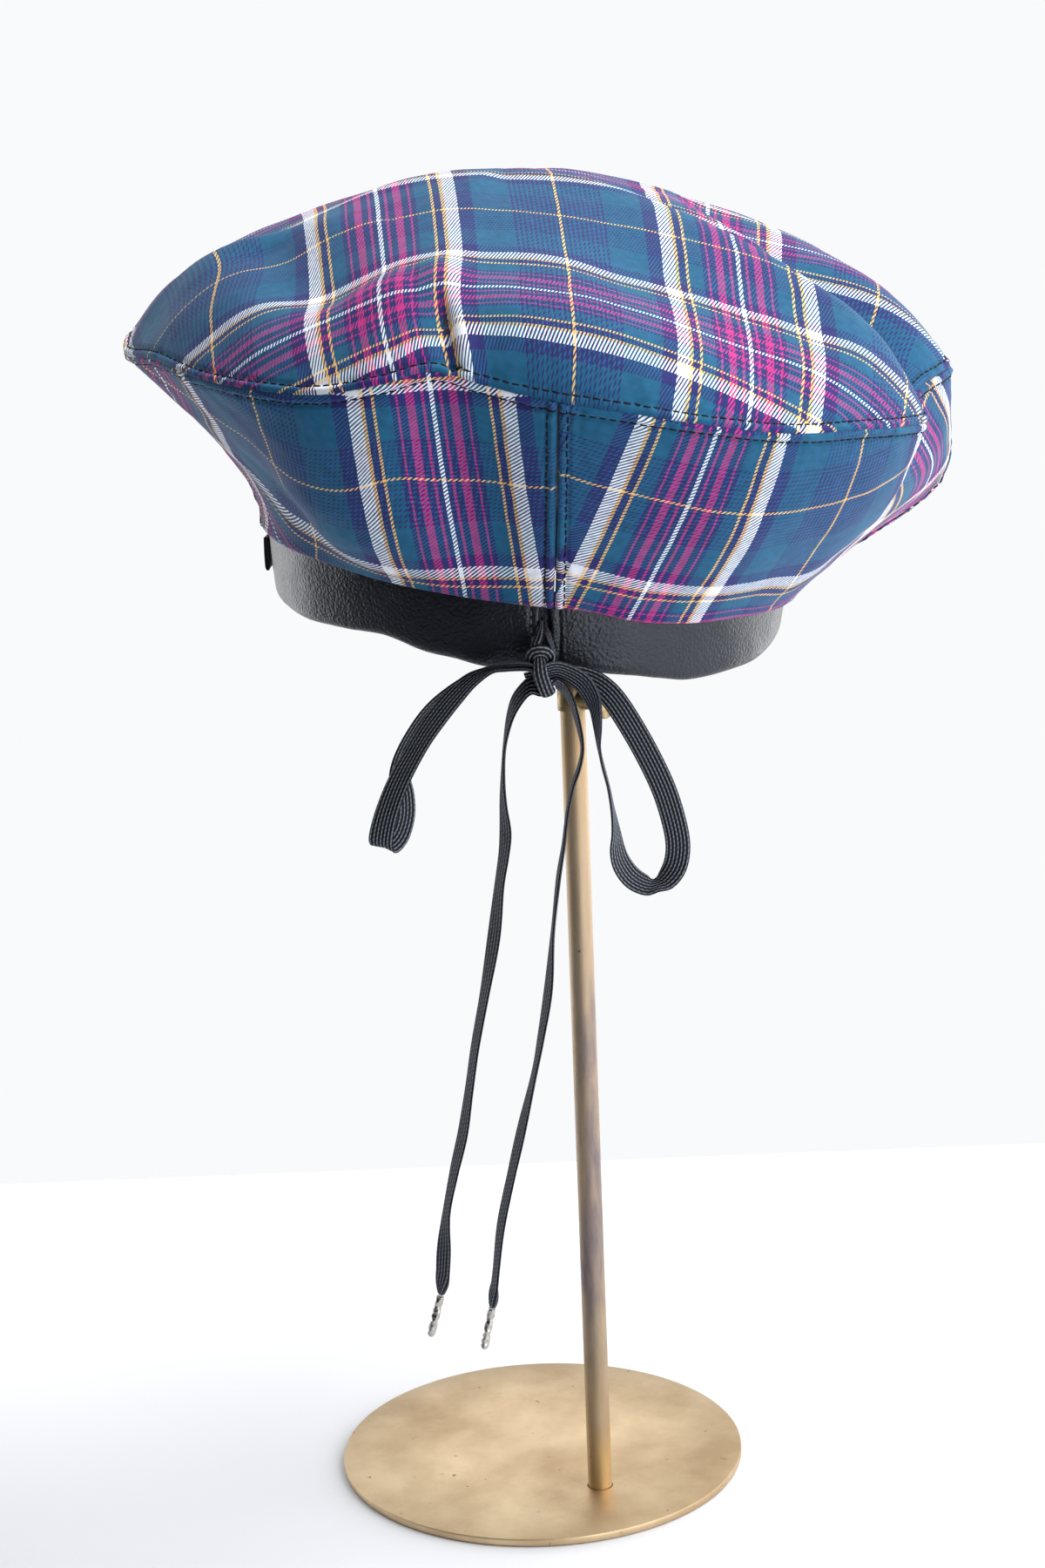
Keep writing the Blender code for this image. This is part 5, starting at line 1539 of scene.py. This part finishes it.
def antiqued_brass(name, rubbed, stains, dark, cloud_mm, lengthwise=1.0, rough=(0.34, 0.52),
                   shaded_rim_mm=0.0):
    """Stained and rubbed brass. stains are rows of STAIN_COLUMNS.

    lengthwise below 1 draws its marks out along Z. The outer shaded_rim_mm of a foot get painted
    shade: darker towards the edge, so that the middle looks brightly lit.
    """
    made, tree, shader = new_material(name, Metallic=1.0)
    place = add(tree, "TexCoord").outputs["Object"]
    drawn = add(tree, "Mapping", {"Vector": place, "Scale": (1.0, 1.0, lengthwise)})
    clouds = add(tree, "TexNoise", {"Vector": drawn, "Scale": 1 / (cloud_mm * MM),
                                    "Detail": 5.0, "Roughness": 0.6})
    share = add(tree, "MapRange", {0: clouds, 1: 0.36, 2: 0.66})
    ways = add(tree, "SeparateXYZ", {0: place})
    height = add(tree, "MapRange", {0: ways.outputs[2], 2: STAIN_TOP * MM})
    stained = add(tree, "ValToRGB", {0: height})
    points = stained.color_ramp.elements
    points.remove(points[1])
    points[0].color = linear(stains[0][1])
    for at, colour in stains[1:]:
        points.new(at / STAIN_TOP).color = linear(colour)
    tint = add(tree, "Mix", {0: share, 6: linear(rubbed), 7: stained},
               data_type="RGBA").outputs[2]
    # Painted shade: a foot's colour darkens towards its rim, leaving its middle bright as if lit.
    if shaded_rim_mm:
        level = add(tree, "CombineXYZ", {0: ways, 1: ways.outputs[1]})
        out = add(tree, "VectorMath", {0: level}, operation="LENGTH").outputs["Value"]
        blur = add(tree, "Math", {0: clouds, 1: 0.03, 2: out}, operation="MULTIPLY_ADD")
        near = add(tree, "MapRange", {0: blur, 1: (BASE_RADIUS - shaded_rim_mm + 15) * MM,
                                      2: (BASE_RADIUS + 12) * MM, 4: 0.32})
        tint = add(tree, "Mix", {0: near, 6: tint, 7: linear(dark)},
                   data_type="RGBA").outputs[2]
    specks = add(tree, "TexNoise", {"Vector": place, "Scale": 0.25 / MM, "Detail": 2.0})
    spots = add(tree, "MapRange", {0: specks, 1: 0.72, 2: 0.78})
    spotted = add(tree, "Mix", {0: spots, 6: tint, 7: linear(dark)}, data_type="RGBA").outputs[2]
    tree.links.new(spotted, shader.inputs["Base Color"])
    dull = add(tree, "MapRange", {0: clouds, 1: 0.3, 2: 0.7, 3: rough[0], 4: rough[1]})
    tree.links.new(dull.outputs[0], shader.inputs["Roughness"])
    grain = add(tree, "TexNoise", {"Vector": drawn, "Scale": 0.9 / MM, "Detail": 3.0})
    bump = add(tree, "Bump", {"Strength": 0.25, "Distance": 0.0002, "Height": grain})
    tree.links.new(bump.outputs[0], shader.inputs["Normal"])
    return made


foot_brass = antiqued_brass("antiqued_brass_foot", "#f3d9b0", ((0.0, "#cdb08a"),), "#7d6a50",
                            48.0, shaded_rim_mm=45.0)
pole_brass = antiqued_brass("antiqued_brass_pole", "#ae9a80", POLE_STAINS, "#43382c", 11.0,
                            lengthwise=0.22, rough=(0.48, 0.62))
clamp_brass = antiqued_brass("antiqued_brass_clamp", "#96835e", ((0.0, "#63553f"),), "#3a3026",
                             5.0)
print("brass finishes:", foot_brass.name, pole_brass.name, clamp_brass.name)

# %% Raise the turned parts
POLE_X, POLE_Y, POLE_RADIUS, POLE_TOP = 21.4, -36.2, 4.5, 311.0
ROD_RADIUS, HEAD_RADIUS, HEAD_DOME, HEAD_TOP = 3.0, 40.0, 15.0, 484.0
SCREW_HEIGHT, SCREW_TURN = 306.5, -38.0


def turned(name, profile, sides):
    """A turned part: a disc at the first (radius, height) row, raised through the others."""
    deselect()
    radius, height = profile[0]
    bpy.ops.mesh.primitive_circle_add(vertices=sides, radius=radius * MM, fill_type="NGON",
                                      location=(0, 0, 0))
    made = bpy.context.object
    made.name = name
    bpy.ops.object.mode_set(mode="EDIT")
    bpy.ops.mesh.select_all(action="SELECT")
    bpy.ops.transform.translate(value=(0, 0, height * MM))
    for wide, high in profile[1:]:
        bpy.ops.mesh.extrude_region_move(
            TRANSFORM_OT_translate={"value": (0, 0, (high - height) * MM)})
        bpy.ops.transform.resize(value=(wide / radius, wide / radius, 1.0),
                                 center_override=(0, 0, high * MM))
        radius, height = wide, high
    bpy.ops.object.mode_set(mode="OBJECT")
    return made


def combine(piece, tool, operation):
    """Add or cut another part with a Boolean modifier, apply it and drop the tool."""
    deselect()
    piece.select_set(True)
    bpy.context.view_layer.objects.active = piece
    change = piece.modifiers.new(operation.title(), "BOOLEAN")
    change.operation, change.solver, change.object = operation, "EXACT", tool
    bpy.ops.object.modifier_apply(modifier=change.name)
    bpy.data.objects.remove(tool)


def on_pole(piece):
    """Put a turned part on the pole's axis."""
    piece.location = (POLE_X * MM, POLE_Y * MM, 0)
    return piece


def on_screw(piece):
    """Lay a turned part along the thumb screw's axis."""
    turn = math.radians(SCREW_TURN)
    aim = Vector((math.cos(turn), math.sin(turn), 0)).to_track_quat("Z", "Y")
    piece.matrix_world = (Matrix.Translation((POLE_X * MM, POLE_Y * MM, SCREW_HEIGHT * MM))
                          @ aim.to_matrix().to_4x4())
    bpy.context.view_layer.update()
    return piece


def soft_edged(radius, low, high, edge, corner):
    """Profile of a disc whose two edges are rounded over a width, through a corner row."""
    rows = [(radius - edge, low), (radius - corner, low + corner), (radius, low + edge)]
    return rows + [(wide, low + high - at) for wide, at in rows[::-1]]


FOOT_SIDES, POLE_SIDES = 192, 72
SOCKET_FLOOR = 1.0
foot = turned("brass_foot", soft_edged(BASE_RADIUS, 0.0, BASE_THICK, 0.5, 0.15)
              + [(60.0, BASE_THICK)], FOOT_SIDES)
hole = on_pole(turned("socket", [(POLE_RADIUS + GAP, SOCKET_FLOOR),
                                 (POLE_RADIUS + GAP, SOCKET_FLOOR + 5.0)], 64))
combine(foot, hole, "DIFFERENCE")
dress(put_down(foot, foot_brass, 35), "antique_brass", "base_disc")

pole = on_pole(turned("brass_pole", [(POLE_RADIUS, SOCKET_FLOOR + GAP), (POLE_RADIUS, 40.0),
                                     (POLE_RADIUS, 120.0), (POLE_RADIUS, 200.0),
                                     (POLE_RADIUS, POLE_TOP - 0.4),
                                     (POLE_RADIUS - 0.4, POLE_TOP)], POLE_SIDES))
dress(put_down(pole, pole_brass, 35), "antique_brass", "pole_tube")

# %% [markdown]
# The clamp is a short collar with a threaded boss on its side. The thumb screw goes through
# the boss and presses on the rod. Its round head has a knurled edge, so that fingers can
# turn it: small ridges are made by extruding every second face of the rim.

# %% Clamp, screw and head
CLAMP_LOW, CLAMP_HIGH, CLAMP_RADIUS, CLAMP_SIDES = 302.0, 313.0, 5.4, 64
SCREW_RADIUS, KNOB_SIDES, KNOB_MIDDLE = 2.0, 64, 13.8
BOSS = ((3.9, 0), (3.9, 8.2), (3.75, 8.5), (3.4, 8.6))
KNOB = ((SCREW_RADIUS, 5.2), (SCREW_RADIUS, 11.6), (3.4, 12.0), (6.1, 12.2), (6.45, 12.6),
        (6.45, 15.0), (6.1, 15.4), (5.0, 15.4), (4.6, 15.15))
collar = on_pole(turned("clamp", soft_edged(CLAMP_RADIUS, CLAMP_LOW, CLAMP_HIGH, 0.4, 0.1),
                        CLAMP_SIDES))
combine(collar, on_screw(turned("boss", BOSS, 40)), "UNION")
combine(collar, on_pole(turned("bore", [(POLE_RADIUS + GAP, CLAMP_LOW - 1),
                                        (POLE_RADIUS + GAP, POLE_TOP + GAP),
                                        (ROD_RADIUS + GAP, POLE_TOP + GAP),
                                        (ROD_RADIUS + GAP, CLAMP_HIGH + 1)], 56)), "DIFFERENCE")
combine(collar, on_screw(turned("tapped", [(SCREW_RADIUS + GAP, 0), (SCREW_RADIUS + GAP, 12)],
                                32)), "DIFFERENCE")
dress(put_down(collar, clamp_brass, 35), "antique_brass", "clamp_collar")

screw = turned("brass_thumb_screw", KNOB, KNOB_SIDES)
bpy.context.view_layer.objects.active = screw
bpy.ops.object.mode_set(mode="EDIT")
bpy.ops.mesh.select_all(action="DESELECT")
work = bmesh.from_edit_mesh(screw.data)
for side in work.faces:
    middle = side.calc_center_median() / MM
    turn = math.degrees(math.atan2(middle.y, middle.x)) % 360.0
    side.select_set(math.hypot(middle.x, middle.y) > 6.2 and 12.7 < middle.z < 14.9
                    and int(turn * KNOB_SIDES / 360.0) % 2 == 0)
bmesh.update_edit_mesh(screw.data)
bpy.ops.mesh.extrude_region_move(TRANSFORM_OT_translate={"value": (0, 0, 0)})
bpy.ops.transform.resize(value=(1.022, 1.022, 0.86), center_override=(0, 0, KNOB_MIDDLE * MM))
bpy.ops.object.mode_set(mode="OBJECT")
dress(put_down(on_screw(screw), clamp_brass, 35), "antique_brass", "thumb_screw")

low = HEAD_TOP - HEAD_DOME
profile = [(ROD_RADIUS, POLE_TOP + GAP), (ROD_RADIUS, low - 9.0), (9.0, low - 7.0),
           (HEAD_RADIUS - 6.0, low - 3.0), (HEAD_RADIUS - 1.0, low - 1.5)]
profile += [(HEAD_RADIUS * share, HEAD_TOP - HEAD_DOME * share**2)
            for share in 1 - np.arange(12) / 12]
head = on_pole(turned("brass_head_post", profile, 96))
dress(put_down(head, pole_brass, 35), "antique_brass", "head_post")

# %% [markdown]
# ## Floor and light
#
# The photograph was taken in a bright white room. The table is a white board, lit best round the
# stand. Painted shade greys its colour towards the photographer and the left, so that it throws
# less light up under the hat there.

# %% The table
BOARD_SHADE_FROM, BOARD_SHADE_TO = 0.10, 0.46              # metres, where the board turns grey
BOARD_WAY = (-0.8, -0.6, 0.0)
FLOOR_FRONT, FLOOR_BACK, FLOOR_WIDE, FLOOR_BELOW = -2.0, 0.335, 4.0, 0.0004


def painted_board(name):
    """Matt white painted board with a trace of grain, greyed in front and on the left by painted
    shade.
    """
    made, tree, shader = new_material(name, Roughness=0.6)
    place = add(tree, "TexCoord").outputs["Object"]
    grain = add(tree, "TexNoise", {"Vector": place, "Scale": 3.0})
    tint = add(tree, "Mix", {0: grain, 6: linear("#f0f2f6"), 7: linear("#f3f4f8")},
               data_type="RGBA").outputs[2]
    # Painted shade: the board's colour turns grey towards the front and the left.
    left = add(tree, "VectorMath", {0: place, 1: BOARD_WAY},
               operation="DOT_PRODUCT").outputs["Value"]
    away = add(tree, "MapRange", {0: left, 1: BOARD_SHADE_FROM, 2: BOARD_SHADE_TO},
               interpolation_type="SMOOTHSTEP")
    shaded = add(tree, "Mix", {0: away, 6: tint, 7: linear("#848890")},
                 data_type="RGBA").outputs[2]
    tree.links.new(shaded, shader.inputs["Base Color"])
    return made


deselect()
bpy.ops.mesh.primitive_plane_add(size=1.0)
floor = bpy.context.object
floor.name = "table_top"
floor.scale = (FLOOR_WIDE, FLOOR_BACK - FLOOR_FRONT, 1.0)
floor.location = (0.0, (FLOOR_FRONT + FLOOR_BACK) / 2, -FLOOR_BELOW)
put_down(floor, painted_board("white_painted_board"))
floor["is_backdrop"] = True
print("table in m:", FLOOR_WIDE, "by", FLOOR_BACK - FLOOR_FRONT)

# %% [markdown]
# The world's light stands for the walls, which are darker behind the camera and on its left.
# A softbox overhead lights the crown. A large window on the right, a small low one nearer to
# the camera and two bright strips of wall behind give the leather its gloss. The lamps
# themselves are hidden from the camera.

# %% Room and lamps
ROOM_FRONT, ROOM_RIGHT = 0.05, 0.4
ROOM_DARK_TO, ROOM_LIGHT_FROM = -0.45, 0.15
world = bpy.data.worlds.new("white_room")
bpy.context.scene.world = world
world.use_nodes = True
room = world.node_tree
background = room.nodes["Background"]
background.inputs[0].default_value = linear("#f9fafb")
way = add(room, "SeparateXYZ", {0: add(room, "TexCoord").outputs["Generated"]})
right = add(room, "Math", {0: way.outputs[0], 1: ROOM_RIGHT, 2: way.outputs[1]},
            operation="MULTIPLY_ADD")
depth = add(room, "MapRange", {0: right, 1: ROOM_DARK_TO, 2: ROOM_LIGHT_FROM, 3: ROOM_FRONT})
room.links.new(depth.outputs[0], background.inputs[1])


def soft_light(name, place, aim, size, power):
    """A large square lamp at a place, turned towards a point."""
    lamp = bpy.data.lights.new(name, "AREA")
    lamp.energy, lamp.size = power, size
    light = bpy.data.objects.new(name, lamp)
    bpy.context.scene.collection.objects.link(light)
    aimed = (Vector(aim) - Vector(place)).to_track_quat("-Z", "Y").to_matrix().to_4x4()
    light.matrix_world = Matrix.Translation(place) @ aimed
    light.visible_camera = False


LAMP_COLUMNS = ("name", "place", "aim", "size in m", "power in W")
LAMPS = (
    ("right_window", (1.60, -0.90, 0.70), (0, -0.1, 0.35), 2.1, 26.0),
    ("low_front_window", (0.46, -1.00, 0.22), (0, -0.1, 0.34), 0.5, 2.2),
    ("overhead_softbox", (0.55, -0.15, 2.0), (0, -0.05, 0.3), 1.5, 34.0),
    ("left_wall_strip", (-1.20, 0.75, 0.25), (0, -0.05, 0.35), 1.2, 7.0),
    ("right_wall_strip", (1.20, 0.75, 0.25), (0, -0.05, 0.35), 1.2, 10.0),
)
for row in LAMPS:
    soft_light(*row)
print("lamps:", len(LAMPS), "with W in all:", sum(row[-1] for row in LAMPS))
bpy.context.scene.view_settings.view_transform = "Standard"

low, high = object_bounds()
